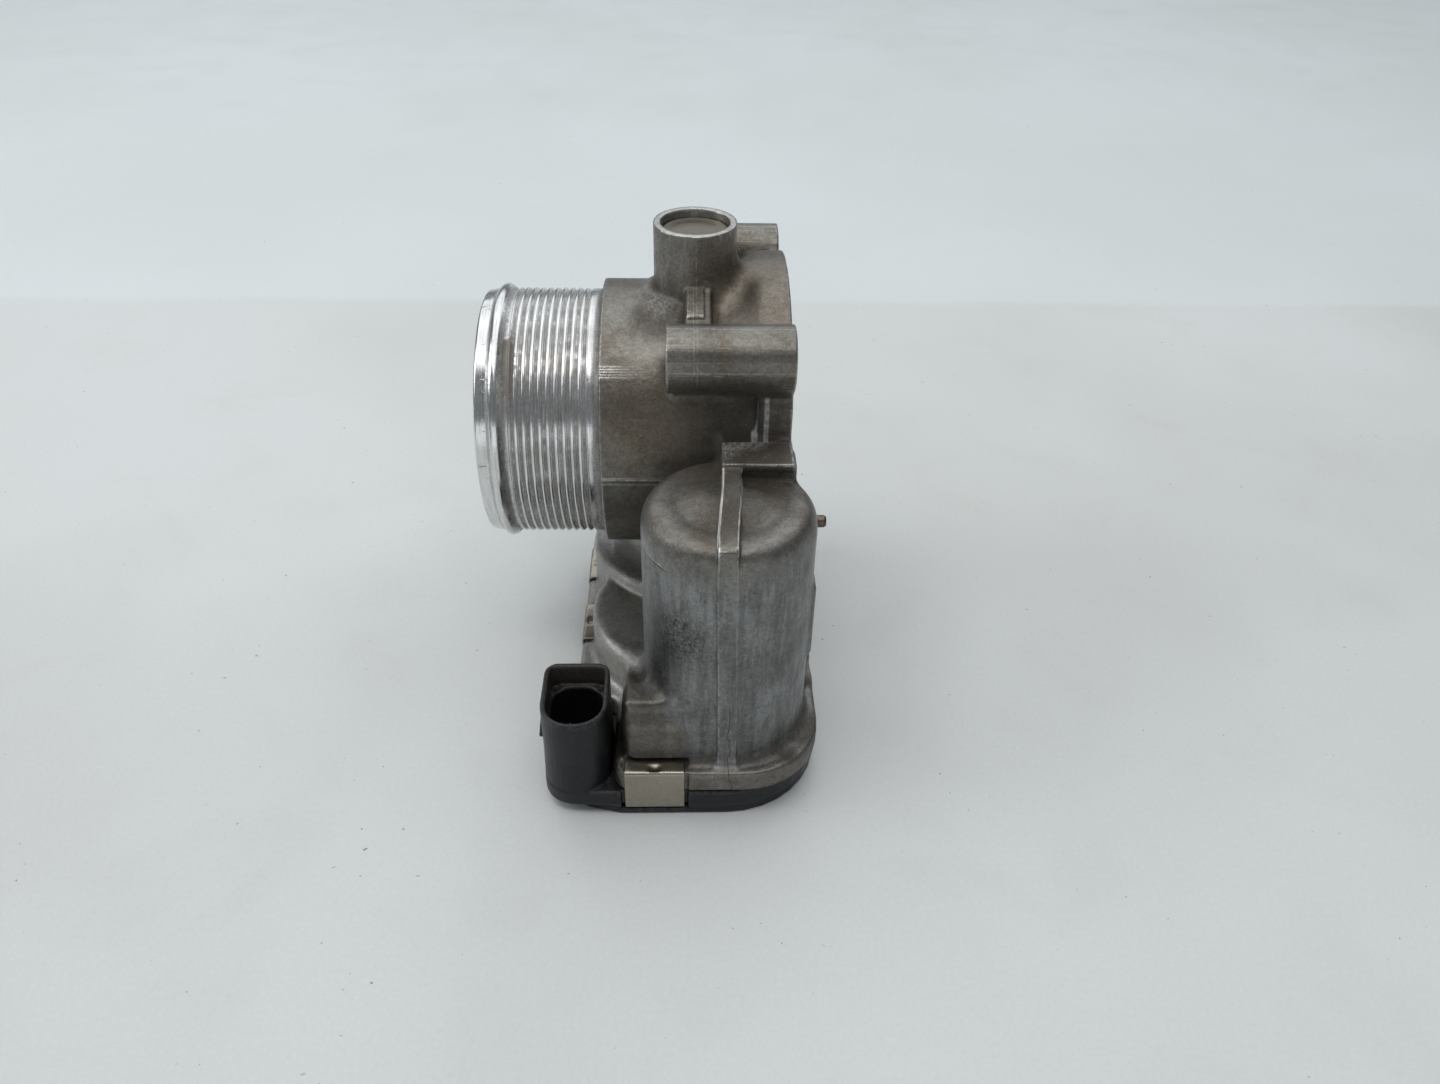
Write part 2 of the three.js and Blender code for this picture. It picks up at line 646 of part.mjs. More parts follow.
function armature() {
  const slots = [0, 72, 144, 216, 288].map((a) => {
    const p = about(MOTOR, 11.8, a);
    return slot(p, about(MOTOR, 8, a), 1.4, 26, 62);
  });
  const core = cut(post(MOTOR, 11.6, 27, 61, 30), ...slots);
  const commutator = post(MOTOR, 5.2, 19.5, 25, 20);
  const spindle = post(MOTOR, 1.6, 6.2, 78.6, 14);
  return join(core, commutator, spindle, post(MOTOR, 6.5, 24.8, 27.2), post(MOTOR, 6.5, 60.8, 64));
}

function magnet(angle) {
  const shell = ring(MOTOR, 12.6, 15.6, 26, 64, 36);
  const keep = box([-20, 20], [6, 20], [20, 70]).rotate([0, 0, angle]).translate([...MOTOR, 0]);
  return shell.intersect(keep);
}

function waveSpring() {
  return ring(MOTOR, 10, 15, 75.2, 76.8, 24);
}

function motorScrew(at) {
  return join(post(at, 1.5, 12, 19.5, 12), post(at, 2.9, 9.2, 10.9, 14), post(at, 1.5, 10.8, 12.1, 12));
}

function sensorBoard() {
  const board = slab(
    outline([
      [-15, -14, 3],
      [15, -14, 3],
      [15, 16, 3],
      [-15, 16, 3],
    ]),
    3,
    4.5,
  );
  return board;
}

const locatingPin = () => tubeX([-38, 60.8], 1.6, 18, FLANGE_X + 10, 14);

function endCap() {
  return turnZ(
    [
      [0, 120.9],
      [7.6, 120.9],
      [7.6, 119],
      [CAP_R - 0.25, 119],
      [CAP_R - 0.25, 122.7],
      [0, 122.7],
    ],
    SHAFT,
    28,
  );
}

// ---------------------------------------------------------------- materials and assembly
const material = (color, roughness, metalness) =>
  new THREE.MeshStandardMaterial({ color, roughness, metalness });
const CAST = material(0x82807b, 0.6, 0.85);
const PLASTIC = material(0x24272b, 0.5, 0);
const CLIP_STEEL = material(0xa39c8e, 0.3, 1);
const STEEL = material(0x9a9a98, 0.35, 1);
const BRASS = material(0xb08d4e, 0.35, 1);
const RUBBER = material(0x1a1a1a, 0.85, 0);
const NYLON = material(0xd8cfb4, 0.55, 0);
const MAGNET = material(0x3a3a3c, 0.6, 0.3);
const COPPER = material(0xa7623b, 0.4, 1);
const BOARD = material(0x1f5a37, 0.5, 0);
const PLATE = material(0xb9b9b4, 0.4, 1);

const throttleBody = new THREE.Group();

function add(name, body, surface) {
  const mesh = new THREE.Mesh(geometryOf(body), surface);
  mesh.name = name;
  throttleBody.add(mesh);
}

add("housing", housing(), CAST);
add("gear_cover", cover(), PLASTIC);
add("cover_seal", coverSeal(), RUBBER);
for (const [name, place] of Object.entries(CLIPS)) {
  add(`cover_clip_${name}`, atClip(clip(), place), CLIP_STEEL);
}
terminalPlaces().forEach(([x, y], i) =>
  add(`connector_pin_${i + 1}`, box([x - 0.35, x + 0.35], [y - 0.7, y + 0.7], [7.6, 15.4]), BRASS),
);
add("shaft_end_cap", endCap(), STEEL);
add("locating_pin", locatingPin(), STEEL);
add("upper_bearing", ring(SHAFT, SHAFT_R + 0.06, BEARING_R, 104, 113, 24), STEEL);
add("lower_bearing", ring(SHAFT, SHAFT_R + 0.06, BEARING_R, 31, 39, 24), STEEL);
add("shaft_seal", ring(SHAFT, SHAFT_R + 0.06, BEARING_R, 27.6, 30.6, 24), RUBBER);
add("throttle_shaft", shaft(), STEEL);
add("throttle_plate", plate(), PLATE);
add("plate_screw_upper", plateScrew(1), STEEL);
add("plate_screw_lower", plateScrew(-1), STEEL);
add("sector_gear", sectorGear(), NYLON);
add("sensor_target", sensorTarget(), COPPER);
add("return_spring", returnSpring(), STEEL);
add("intermediate_gear", intermediateGear(), NYLON);
add("intermediate_gear_pin", idlerPin(), STEEL);
add("motor_can", motorCan(), STEEL);
add("motor_end_bell", motorEndBell(), PLASTIC);
add("motor_armature", armature(), COPPER);
add("motor_pinion", pinion(), BRASS);
add("motor_magnet_left", magnet(90), MAGNET);
add("motor_magnet_right", magnet(-90), MAGNET);
brushPlaces().forEach((p, i) => add(`motor_brush_${i + 1}`, post(p, 2, 15.8, 19.2, 12), MAGNET));
terminalsOfMotor().forEach(([x, y], i) =>
  add(`motor_terminal_${i + 1}`, box([x - 0.4, x + 0.4], [y - 1.4, y + 1.4], [5.2, 14]), BRASS),
);
MOTOR_EARS.forEach((ear, i) => add(`motor_screw_${i + 1}`, motorScrew(ear), STEEL));
add("motor_wave_spring", waveSpring(), STEEL);
add("sensor_board", sensorBoard(), BOARD);

export default throttleBody;
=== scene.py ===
import math
import random

import bmesh
import bpy
import numpy as np
from mathutils import Matrix, Vector


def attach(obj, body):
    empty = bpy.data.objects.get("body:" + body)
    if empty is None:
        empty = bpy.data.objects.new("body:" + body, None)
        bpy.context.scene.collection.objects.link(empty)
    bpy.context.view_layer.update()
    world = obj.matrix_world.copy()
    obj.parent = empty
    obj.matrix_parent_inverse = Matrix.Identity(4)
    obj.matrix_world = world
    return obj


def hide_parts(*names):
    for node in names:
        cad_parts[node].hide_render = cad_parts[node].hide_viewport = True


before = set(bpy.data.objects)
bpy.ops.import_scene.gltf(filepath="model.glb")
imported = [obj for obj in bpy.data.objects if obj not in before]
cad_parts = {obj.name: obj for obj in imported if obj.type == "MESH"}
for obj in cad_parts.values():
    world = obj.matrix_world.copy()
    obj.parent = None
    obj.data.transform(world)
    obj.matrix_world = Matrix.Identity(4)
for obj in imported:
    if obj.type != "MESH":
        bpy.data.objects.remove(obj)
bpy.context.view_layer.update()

MM = 0.001
CASTING_TRIANGLES = 186000
COVER_TRIANGLES = 120000
# All lengths below are in millimetres.
BORE_Z = 71.0
BORE_R = 30.0
DUCT_R = 35.5
STEP_X = -23.6
LIP_X = -54.6
FLANGE_X = 23.3
FLANGE_R = 42
BOLT_HOLE_R = 3.3
PIN_AT = (-38, 60.8)
FAR = 9  # what a distance field holds where no shape is near
MOTOR = (7.7, -56.8)
IDLER = (1.16, -29.68)
BARREL_R = 20.65
SLEEVE_R = 8.1
SMEARS = [(-4.2, -73.6, 53), (-9, -68.9, 39)]
SLEEVE_LINE_Z = 103.0
RIB_X = (6.2, 10.8)
RIB_LEAN = 1.7
RIM_Z0 = 8.0
RIM_Z1 = 14.4
CLIP_TOP = 15.1
CLIP_FOOT = 2.2
BOLTS = [(y, BORE_Z + z) for z in (32.5, -32.5) for y in (-32.2, 32.2)]
CLIPS = {  # the middle of each clip on the rim, and the way it faces in degrees
    "front": (-10.2, -81.1, -90),
    "left_front": (-31.5, -23.5, 180),
    "left_rear": (-31.5, 4, 180),
    "rear": (0, 34, 90),
    "right_rear": (32, 4, 0),
    "right_front": (32, -29, 0),
}
random.seed(7)
rng = np.random.default_rng(7)


# ------------------------------------------------------------------ distance fields
def polygon_distance(points, u, v):
    """Signed distance in the plane, negative inside the closed outline."""
    best = np.full(np.broadcast(u, v).shape, 1e9, np.float32)
    inside = np.zeros(best.shape, bool)
    n = len(points)
    for i in range(n):
        (ax, ay), (bx, by) = points[i], points[(i + 1) % n]
        ex, ey = bx - ax, by - ay
        t = np.clip(((u - ax) * ex + (v - ay) * ey) / max(ex * ex + ey * ey, 1e-9), 0, 1)
        best = np.minimum(best, (u - ax - t * ex) ** 2 + (v - ay - t * ey) ** 2)
        if ay != by:
            crosses = ((v >= ay) & (v < by)) | ((v >= by) & (v < ay))
            inside ^= crosses & (u < ax + (v - ay) * ex / ey)
    return np.where(inside, -1, 1) * np.sqrt(best)


def extruded(flat, along, a, b, rnd):
    """A flat distance made solid between a and b, with edges rounded by rnd."""
    q = flat + rnd
    w = np.abs(along - (a + b) / 2) - (b - a) / 2 + rnd
    return np.minimum(np.maximum(q, w), 0) + np.hypot(np.maximum(q, 0), np.maximum(w, 0)) - rnd


def order(axis, x, y, z):
    return {"x": (y, z, x), "y": (x, z, y), "z": (x, y, z)}[axis]


def limits(axis, us, vs, ts):
    lo, hi = (min(us), min(vs), min(ts)), (max(us), max(vs), max(ts))
    back = {"x": (2, 0, 1), "y": (0, 2, 1), "z": (0, 1, 2)}[axis]
    return [lo[i] for i in back], [hi[i] for i in back]


def rod(axis, centre, r, a, b, rnd=0.0):
    def distance(x, y, z):
        u, v, t = order(axis, x, y, z)
        return extruded(np.hypot(u - centre[0], v - centre[1]) - r, t, a, b, rnd)

    lo, hi = limits(axis, (centre[0] - r, centre[0] + r), (centre[1] - r, centre[1] + r), (a, b))
    return distance, lo, hi


def prism(axis, points, a, b, rnd=0.0):
    def distance(x, y, z):
        u, v, t = order(axis, x, y, z)
        return extruded(polygon_distance(points, u, v), t, a, b, rnd)

    lo, hi = limits(axis, [p[0] for p in points], [p[1] for p in points], (a, b))
    return distance, lo, hi


def turned(axis, centre, points):
    """Points are (radius, place along the axis)."""

    def distance(x, y, z):
        u, v, t = order(axis, x, y, z)
        return polygon_distance(points, np.hypot(u - centre[0], v - centre[1]), t)

    r = max(p[0] for p in points)
    ts = [p[1] for p in points]
    lo, hi = limits(axis, (centre[0] - r, centre[0] + r), (centre[1] - r, centre[1] + r), ts)
    return distance, lo, hi


def block(lo, hi, rnd=0.0):
    def distance(x, y, z):
        q = [np.abs(c - (a + b) / 2) - (b - a) / 2 + rnd for c, a, b in zip((x, y, z), lo, hi)]
        outside = np.sqrt(sum(np.maximum(c, 0) ** 2 for c in q))
        return outside + np.minimum(np.maximum(np.maximum(q[0], q[1]), q[2]), 0) - rnd

    return distance, list(lo), list(hi)


def outline(corners, steps=8):
    """Corners are (x, y, radius); each is rounded by an arc."""
    points = []
    n = len(corners)
    for i, (x, y, r) in enumerate(corners):
        here = Vector((x, y))
        u = (Vector(corners[i - 1][:2]) - here).normalized()
        v = (Vector(corners[(i + 1) % n][:2]) - here).normalized()
        half = math.acos(max(-1, min(1, u.dot(v)))) / 2
        middle = here + (u + v).normalized() * (r / math.sin(half))
        start = here + u * (r / math.tan(half)) - middle
        end = here + v * (r / math.tan(half)) - middle
        sweep = math.atan2(start.x * end.y - start.y * end.x, start.dot(end))
        for k in range(steps + 1):
            a = sweep * k / steps
            points.append(tuple(middle + Matrix.Rotation(a, 2) @ start))
    return points


def flowing(points, steps=5):
    """A smooth open line through the points."""
    pts = [Vector(p) for p in points]
    out = []
    for i in range(len(pts) - 1):
        p0, p1, p2, p3 = pts[max(0, i - 1)], pts[i], pts[i + 1], pts[min(len(pts) - 1, i + 2)]
        for k in range(steps):
            t = k / steps
            square, cube = p0 * 2 - p1 * 5 + p2 * 4 - p3, p1 * 3 - p0 - p2 * 3 + p3
            out.append(tuple((p1 * 2 + (p2 - p0) * t + square * t**2 + cube * t**3) / 2))
    return out + [tuple(pts[-1])]


def inset(corners, d):
    moved = []
    n = len(corners)
    for i, (x, y, r) in enumerate(corners):
        u = (Vector((x, y)) - Vector(corners[i - 1][:2])).normalized()
        v = (Vector(corners[(i + 1) % n][:2]) - Vector((x, y))).normalized()
        inwards = Vector((-u.y - v.y, u.x + v.x)).normalized()
        reach = d / inwards.dot(Vector((-u.y, u.x)))
        turn = u.x * v.y - u.y * v.x
        moved.append((x + inwards.x * reach, y + inwards.y * reach, max(0.4, r - math.copysign(d, turn))))
    return moved


CORNERS = [(a, b, c) for a in (0, 1) for b in (0, 1) for c in (0, 1)]


class Field:
    """A sampled distance field that shapes are joined to and cut from."""

    def __init__(self, lo, hi, step):
        self.step = step
        self.lo = np.array(lo, np.float32)
        counts = [int(math.ceil((b - a) / step)) + 1 for a, b in zip(lo, hi)]
        marks = [np.float32(step) * np.arange(n, dtype=np.float32) for n in counts]
        self.axes = [np.float32(a) + mark for a, mark in zip(lo, marks)]
        self.d = np.full(counts, FAR, np.float32)

    def window(self, lo, hi, reach):
        cuts = []
        for axis, a, b in zip(self.axes, lo, hi):
            cuts.append(slice(int(np.searchsorted(axis, a - reach)), int(np.searchsorted(axis, b + reach))))
        x = self.axes[0][cuts[0]][:, None, None]
        y = self.axes[1][cuts[1]][None, :, None]
        z = self.axes[2][cuts[2]][None, None, :]
        return tuple(cuts), x, y, z

    def join(self, shape, k=0.0):
        distance, lo, hi = shape
        cuts, x, y, z = self.window(lo, hi, k + 3 * self.step)
        a, b = self.d[cuts], distance(x, y, z)
        if k:
            h = np.clip(0.5 + 0.5 * (a - b) / k, 0, 1)
            self.d[cuts] = a * (1 - h) + b * h - k * h * (1 - h)
        else:
            self.d[cuts] = np.minimum(a, b)

    def cut(self, shape, k=0.0):
        distance, lo, hi = shape
        cuts, x, y, z = self.window(lo, hi, k + 3 * self.step)
        a, b = self.d[cuts], -distance(x, y, z)
        if k:
            h = np.clip(0.5 + 0.5 * (b - a) / k, 0, 1)
            self.d[cuts] = a * (1 - h) + b * h + k * h * (1 - h)
        else:
            self.d[cuts] = np.maximum(a, b)

    def sample(self, values, points):
        p = (points - self.lo) / self.step
        i = np.clip(p.astype(int), 0, np.array(values.shape) - 2)
        f = np.clip(p - i, 0, 1)
        total = np.zeros(len(points), np.float32)
        for dx, dy, dz in CORNERS:
            w = (f[:, 0] if dx else 1 - f[:, 0]) * (f[:, 1] if dy else 1 - f[:, 1])
            w = w * (f[:, 2] if dz else 1 - f[:, 2])
            total += w * values[i[:, 0] + dx, i[:, 1] + dy, i[:, 2] + dz]
        return total

    def crowding(self, radius):
        """How much of the space within about radius of each place is solid, from 0 to 1."""
        solid = np.clip(0.5 - self.d / self.step, 0, 1)
        w = max(1, int(round(radius / self.step / 1.7)))
        for axis in range(3):
            for _ in range(2):
                pad = [(w + 1, w) if i == axis else (0, 0) for i in range(3)]
                run = np.cumsum(np.pad(solid, pad, mode="edge"), axis=axis, dtype=np.float32)
                n = solid.shape[axis]
                high = np.take(run, np.arange(2 * w + 1, n + 2 * w + 1), axis=axis)
                low = np.take(run, np.arange(0, n), axis=axis)
                solid = (high - low) / (2 * w + 1)
        return solid

    def surface(self):
        """Vertices and quads of the zero surface, by surface nets."""
        s = self.d < 0
        count = sum(
            s[a : s.shape[0] - 1 + a, b : s.shape[1] - 1 + b, c : s.shape[2] - 1 + c].astype(np.uint8)
            for a, b, c in CORNERS
        )
        mixed = (count > 0) & (count < 8)
        cells = np.argwhere(mixed)
        number = np.full(mixed.shape, -1, np.int32)
        number[mixed] = np.arange(len(cells))
        total = np.zeros((len(cells), 3), np.float32)
        hits = np.zeros(len(cells), np.float32)
        for p in map(np.array, CORNERS):
            for axis in range(3):
                if p[axis]:
                    continue
                q = p.copy()
                q[axis] = 1
                da = self.d[tuple((cells + p).T)]
                db = self.d[tuple((cells + q).T)]
                crossed = (da < 0) != (db < 0)
                t = np.where(crossed, da / np.where(crossed, da - db, 1), 0)
                total += np.where(crossed[:, None], p + t[:, None] * (q - p), 0)
                hits += crossed
        verts = self.lo + (cells + total / hits[:, None]) * self.step
        quads = []
        for axis in range(3):
            u, v = (axis + 1) % 3, (axis + 2) % 3
            low = [slice(1, -1)] * 3
            low[axis] = slice(0, -1)
            high = list(low)
            high[axis] = slice(1, None)
            first, second = s[tuple(low)], s[tuple(high)]
            at = np.argwhere(first != second)
            base = at + np.array([0 if i == axis else 1 for i in range(3)])
            du, dv = np.zeros(3, int), np.zeros(3, int)
            du[u], dv[v] = 1, 1
            ring = [number[tuple((base - o).T)] for o in (0, du, du + dv, dv)]
            quad = np.stack(ring, axis=1)
            outwards = first[tuple(at.T)]
            quad[outwards] = quad[outwards][:, ::-1]
            quads.append(quad[:, ::-1])
        return verts, np.concatenate(quads)


def placed(name, data):
    ob = bpy.data.objects.new(name, data)
    bpy.context.scene.collection.objects.link(ob)
    return ob


def mesh_from(name, verts, faces):
    """An object from vertices in millimetres and an array of faces of one size."""
    me = bpy.data.meshes.new(name)
    size = faces.shape[1]
    me.vertices.add(len(verts))
    me.vertices.foreach_set("co", (np.asarray(verts, np.float32) * MM).ravel())
    me.loops.add(faces.size)
    me.loops.foreach_set("vertex_index", faces.astype(np.int32).ravel())
    me.polygons.add(len(faces))
    me.polygons.foreach_set("loop_start", np.arange(len(faces), dtype=np.int32) * size)
    me.update(calc_edges=True)
    me.validate()
    return placed(name, me)


def thin_out(ob, most):
    """Merges flat areas until the mesh has at most that many triangles."""
    triangles = sum(len(p.vertices) - 2 for p in ob.data.polygons)
    if triangles > most:
        mod = ob.modifiers.new("thin", "DECIMATE")
        mod.ratio = most / triangles
        graph = bpy.context.evaluated_depsgraph_get()
        thinner = bpy.data.meshes.new_from_object(ob.evaluated_get(graph))
        ob.modifiers.clear()
        ob.data = thinner


def points_of(ob):
    co = np.zeros(len(ob.data.vertices) * 3, np.float32)
    ob.data.vertices.foreach_get("co", co)
    return co.reshape(-1, 3) / MM


def paint(ob, name, values):
    ob.data.attributes.new(name, "FLOAT", "POINT").data.foreach_set("value", values.astype(np.float32))


def finish_piece(ob, mat, body, nodes):
    ob.data.materials.clear()
    ob.data.materials.append(mat)
    ob.data.polygons.foreach_set("use_smooth", np.ones(len(ob.data.polygons), bool))
    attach(ob, body)
    if nodes:
        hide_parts(*nodes)
    return ob


# ------------------------------------------------------------------ node materials
class Surface:
    """A Principled material with short ways to wire nodes. Places are in the object's own metres."""

    def __init__(self, name):
        self.mat = bpy.data.materials.new(name)
        self.mat.use_nodes = True
        self.tree = self.mat.node_tree
        self.tree.nodes.clear()
        self.out = self.tree.nodes.new("ShaderNodeOutputMaterial")
        self.shader = self.tree.nodes.new("ShaderNodeBsdfPrincipled")
        self.tree.links.new(self.shader.outputs[0], self.out.inputs[0])
        self.place = self.tree.nodes.new("ShaderNodeTexCoord").outputs["Object"]
        split = self.tree.nodes.new("ShaderNodeSeparateXYZ")
        self.tree.links.new(self.place, split.inputs[0])
        self.x, self.y, self.z = split.outputs

    def put(self, socket, value):
        if hasattr(value, "is_output"):
            self.tree.links.new(value, socket)
        elif isinstance(value, tuple) and len(value) == 3 and socket.type == "RGBA":
            socket.default_value = (*value, 1)
        else:
            socket.default_value = value

    def math(self, op, a, b=0.0, c=0.0, clamp=False):
        node = self.tree.nodes.new("ShaderNodeMath")
        node.operation = op
        node.use_clamp = clamp
        for i, v in enumerate((a, b, c)):
            self.put(node.inputs[i], v)
        return node.outputs[0]

    def fold(self, op, values):
        total = values[0]
        for value in values[1:]:
            total = self.math(op, total, value)
        return total

    def mul(self, *values):
        return self.fold("MULTIPLY", values)

    def add(self, *values):
        return self.fold("ADD", values)

    def most(self, *values):
        return self.fold("MAXIMUM", values)

    def less(self, a, b):
        return self.math("SUBTRACT", a, b)

    def rest(self, value, clamp=False):
        """What value leaves of 1."""
        return self.math("SUBTRACT", 1, value, clamp=clamp)

    def fade(self, value, low, high, a=0.0, b=1.0):
        """A ramp along a length, with its ends in millimetres."""
        return self.ramp(value, low * MM, high * MM, a, b)

    def noise(self, size, detail=3.0, rough=0.55, warp=0.0, stretch=None):
        """size is in millimetres."""
        node = self.tree.nodes.new("ShaderNodeTexNoise")
        node.inputs["Scale"].default_value = 1 / (size * MM)
        node.inputs["Detail"].default_value = detail
        node.inputs["Roughness"].default_value = rough
        node.inputs["Distortion"].default_value = warp
        self.tree.links.new(self.scaled(stretch), node.inputs["Vector"])
        return node.outputs[0]

    def cells(self, size):
        """The distance to the nearest of many scattered points, size millimetres apart."""
        node = self.tree.nodes.new("ShaderNodeTexVoronoi")
        node.inputs["Scale"].default_value = 1 / (size * MM)
        self.tree.links.new(self.place, node.inputs["Vector"])
        return node.outputs["Distance"]

    def scaled(self, stretch):
        if not stretch:
            return self.place
        node = self.tree.nodes.new("ShaderNodeMapping")
        node.inputs["Scale"].default_value = stretch
        self.tree.links.new(self.place, node.inputs["Vector"])
        return node.outputs[0]

    def ramp(self, value, low, high, a=0.0, b=1.0):
        node = self.tree.nodes.new("ShaderNodeMapRange")
        node.interpolation_type = "SMOOTHSTEP"
        names = "Value", "From Min", "From Max", "To Min", "To Max"
        for name, v in zip(names, (value, low, high, a, b)):
            self.put(node.inputs[name], v)
        return node.outputs[0]

    def mix(self, fac, a, b):
        node = self.tree.nodes.new("ShaderNodeMix")
        node.data_type = "RGBA"
        self.put(node.inputs[0], fac)
        self.put(node.inputs[6], a)
        self.put(node.inputs[7], b)
        return node.outputs[2]

    def tint(self, colour, amount):
        """The colour made lighter or darker by a factor."""
        node = self.tree.nodes.new("ShaderNodeVectorMath")
        node.operation = "SCALE"
        self.put(node.inputs[0], colour)
        self.put(node.inputs["Scale"], amount)
        return node.outputs[0]

    def attribute(self, name):
        node = self.tree.nodes.new("ShaderNodeAttribute")
        node.attribute_name = name
        return node.outputs["Fac"]

    def near(self, value, centre, half, soft):
        """1 where value is within half of centre, falling to 0 over soft. All in millimetres."""
        off = self.math("ABSOLUTE", self.math("SUBTRACT", value, centre * MM))
        return self.ramp(off, (half + soft) * MM, half * MM)

    def between(self, value, a, b, soft):
        return self.near(value, (a + b) / 2, (b - a) / 2, soft)

    def blob(self, x, y, z, r, soft, ragged):
        """1 within r of a place, falling to 0 over soft, with a ragged edge. All in millimetres."""
        node = self.tree.nodes.new("ShaderNodeVectorMath")
        node.operation = "DISTANCE"
        self.put(node.inputs[0], self.place)
        node.inputs[1].default_value = (x * MM, y * MM, z * MM)
        far = self.add(node.outputs["Value"], self.mul(ragged, soft * MM))
        return self.ramp(far, (r + soft) * MM, r * MM)

    def radius(self, u, v, cu, cv):
        du = self.math("SUBTRACT", u, cu * MM)
        dv = self.math("SUBTRACT", v, cv * MM)
        return self.math("SQRT", self.add(self.mul(du, du), self.mul(dv, dv)))

    def bump(self, height, distance, strength):
        """distance is how high 1 stands, in millimetres."""
        node = self.tree.nodes.new("ShaderNodeBump")
        node.inputs["Strength"].default_value = strength
        node.inputs["Distance"].default_value = distance * MM
        self.put(node.inputs["Height"], height)
        return node.outputs[0]

    def set(self, **values):
        for name, value in values.items():
            self.put(self.shader.inputs[name.replace("_", " ")], value)
        return self.mat


def cast_aluminium():
    s = Surface("cast_aluminium")
    crowd, edge, machined = s.attribute("crowd"), s.attribute("edge"), s.attribute("machined")
    broad = s.noise(18, 3, 0.55)
    patch = s.noise(6, 5, 0.65, 0.5)
    mottle = s.noise(1.5, 5, 0.72)
    grain = s.noise(0.62, 4, 0.75)
    fine = s.noise(0.3, 3, 0.7)
    # Bluer, scuffed metal on the motor barrel, and browner metal on the duct and the flange.
    barrel = s.fade(s.radius(s.x, s.y, *MOTOR), 25, 21)
    low = s.fade(s.z, 82, 66)
    warm = s.rest(s.mul(barrel, low))
    base = s.mix(s.ramp(broad, 0.35, 0.65), (0.168, 0.156, 0.136), (0.232, 0.220, 0.198))
    cool = s.mix(s.ramp(broad, 0.35, 0.65), (0.178, 0.180, 0.176), (0.245, 0.250, 0.248))
    colour = s.mix(warm, cool, base)
    stain = s.mul(s.ramp(patch, 0.48, 0.66), s.add(s.mul(warm, 0.38), 0.06))
    colour = s.mix(stain, colour, (0.125, 0.092, 0.062))
    # Dirt and painted shade in the hollows, and painted shadow with some dirt where the casting shelters a
    # surface.
    ragged = s.mul(s.less(s.noise(3.5, 5, 0.7), 0.5), 0.7)
    hollow_dirt_and_shade = s.ramp(s.add(crowd, s.mul(ragged, 0.16)), 0.515, 0.66)
    sheltered_shadow_and_dirt = s.blob(9, -36, 80, 9, 17, ragged)
    for spot in ((16, -49, 78, 5, 8), (-9, -11, 105, 3, 8), (18, -38, 70, 4, 8), (8, -66, 80, 3, 9)):
        sheltered_shadow_and_dirt = s.most(sheltered_shadow_and_dirt, s.mul(s.blob(*spot, ragged), 0.8))
    # The lobes over the gears, left of the barrel, are clean and bright.
    lobes = s.mul(s.fade(s.z, 46, 38), s.fade(s.y, -58, -54), s.fade(s.x, 4, -2))
    dirt_and_shade = s.most(s.mul(hollow_dirt_and_shade, 0.85), s.mul(sheltered_shadow_and_dirt, 0.75))
    dirt_and_shade = s.mul(dirt_and_shade, s.rest(s.mul(lobes, 0.8)))
    crease = s.most(s.blob(28, -66, 15, 3, 6, ragged), s.blob(23, -74, 15, 1, 4, ragged))
    dirt_and_shade = s.most(dirt_and_shade, s.mul(crease, 0.7))
    # The dark brown here is partly dirt and partly painted shade.
    colour = s.mix(dirt_and_shade, colour, (0.050, 0.038, 0.027))
    colour = s.mix(s.mul(lobes, 0.85), colour, (0.56, 0.55, 0.52))
    colour = s.tint(colour, s.ramp(warm, 0, 1, 1.0, 0.92))
    # Streaks and mottling down the barrel.
    streak = s.noise(2.2, 4, 0.65, 0.3, stretch=(1, 1, 0.14))
    on_barrel = s.mul(barrel, low)
    colour = s.tint(colour, s.ramp(on_barrel, 0, 1, 1.0, s.ramp(streak, 0.32, 0.68, 0.74, 1.18)))
    blotch = s.mul(on_barrel, s.ramp(s.noise(3.2, 5, 0.75, 0.3), 0.50, 0.64, 0, 0.4))
    colour = s.mix(blotch, colour, (0.105, 0.092, 0.074))
    # Painted highlight: two bright stripes down the plate's rounded back edge below the sleeve.
    plate_edge_highlight = s.add(s.near(s.x, 14.3, 0.45, 0.5), s.mul(s.near(s.x, 17.0, 0.35, 0.45), 0.75))
    plate_edge_highlight = s.mul(plate_edge_highlight, s.between(s.z, 73, 94, 1.5), s.between(s.y, -37.2, -34, 0.8))
    plate_edge_highlight = s.mul(plate_edge_highlight, s.ramp(s.noise(1.4, 4, 0.75), 0.3, 0.6, 0.35, 1))
    colour = s.mix(s.mul(plate_edge_highlight, 0.8), colour, (0.60, 0.61, 0.61))
    tan = s.most(s.blob(14, -8, 113, 6, 16, ragged), s.blob(-12, -33, 88, 5, 14, ragged))
    colour = s.mix(s.mul(tan, 0.42), colour, (0.15, 0.112, 0.075))
    # Black rubbed-on dirt low on the barrel's left side.
    smear = s.most(s.blob(*SMEARS[0], 3.5, 7, ragged), s.blob(*SMEARS[1], 1.5, 5, ragged))
    smear = s.mul(smear, s.ramp(s.noise(0.8, 6, 0.85, 0.4), 0.47, 0.56))
    colour = s.mix(s.mul(smear, 0.8), colour, (0.022, 0.024, 0.028))
    colour = s.tint(colour, s.ramp(mottle, 0.28, 0.72, 0.84, 1.14))
    colour = s.tint(colour, s.ramp(grain, 0.30, 0.70, 0.82, 1.20))
    pit = s.ramp(grain, 0.35, 0.26)
    colour = s.mix(s.mul(pit, 0.45), colour, (0.030, 0.026, 0.022))
    # Bright flecks of bare grain, also painted as glints.
    fleck_and_glint = s.mul(s.ramp(s.cells(0.75), 0.15, 0.05), s.ramp(patch, 0.40, 0.60))
    fleck_and_glint = s.mul(fleck_and_glint, s.rest(s.mul(dirt_and_shade, 0.7)))
    colour = s.mix(s.mul(fleck_and_glint, 0.6), colour, (0.46, 0.45, 0.43))
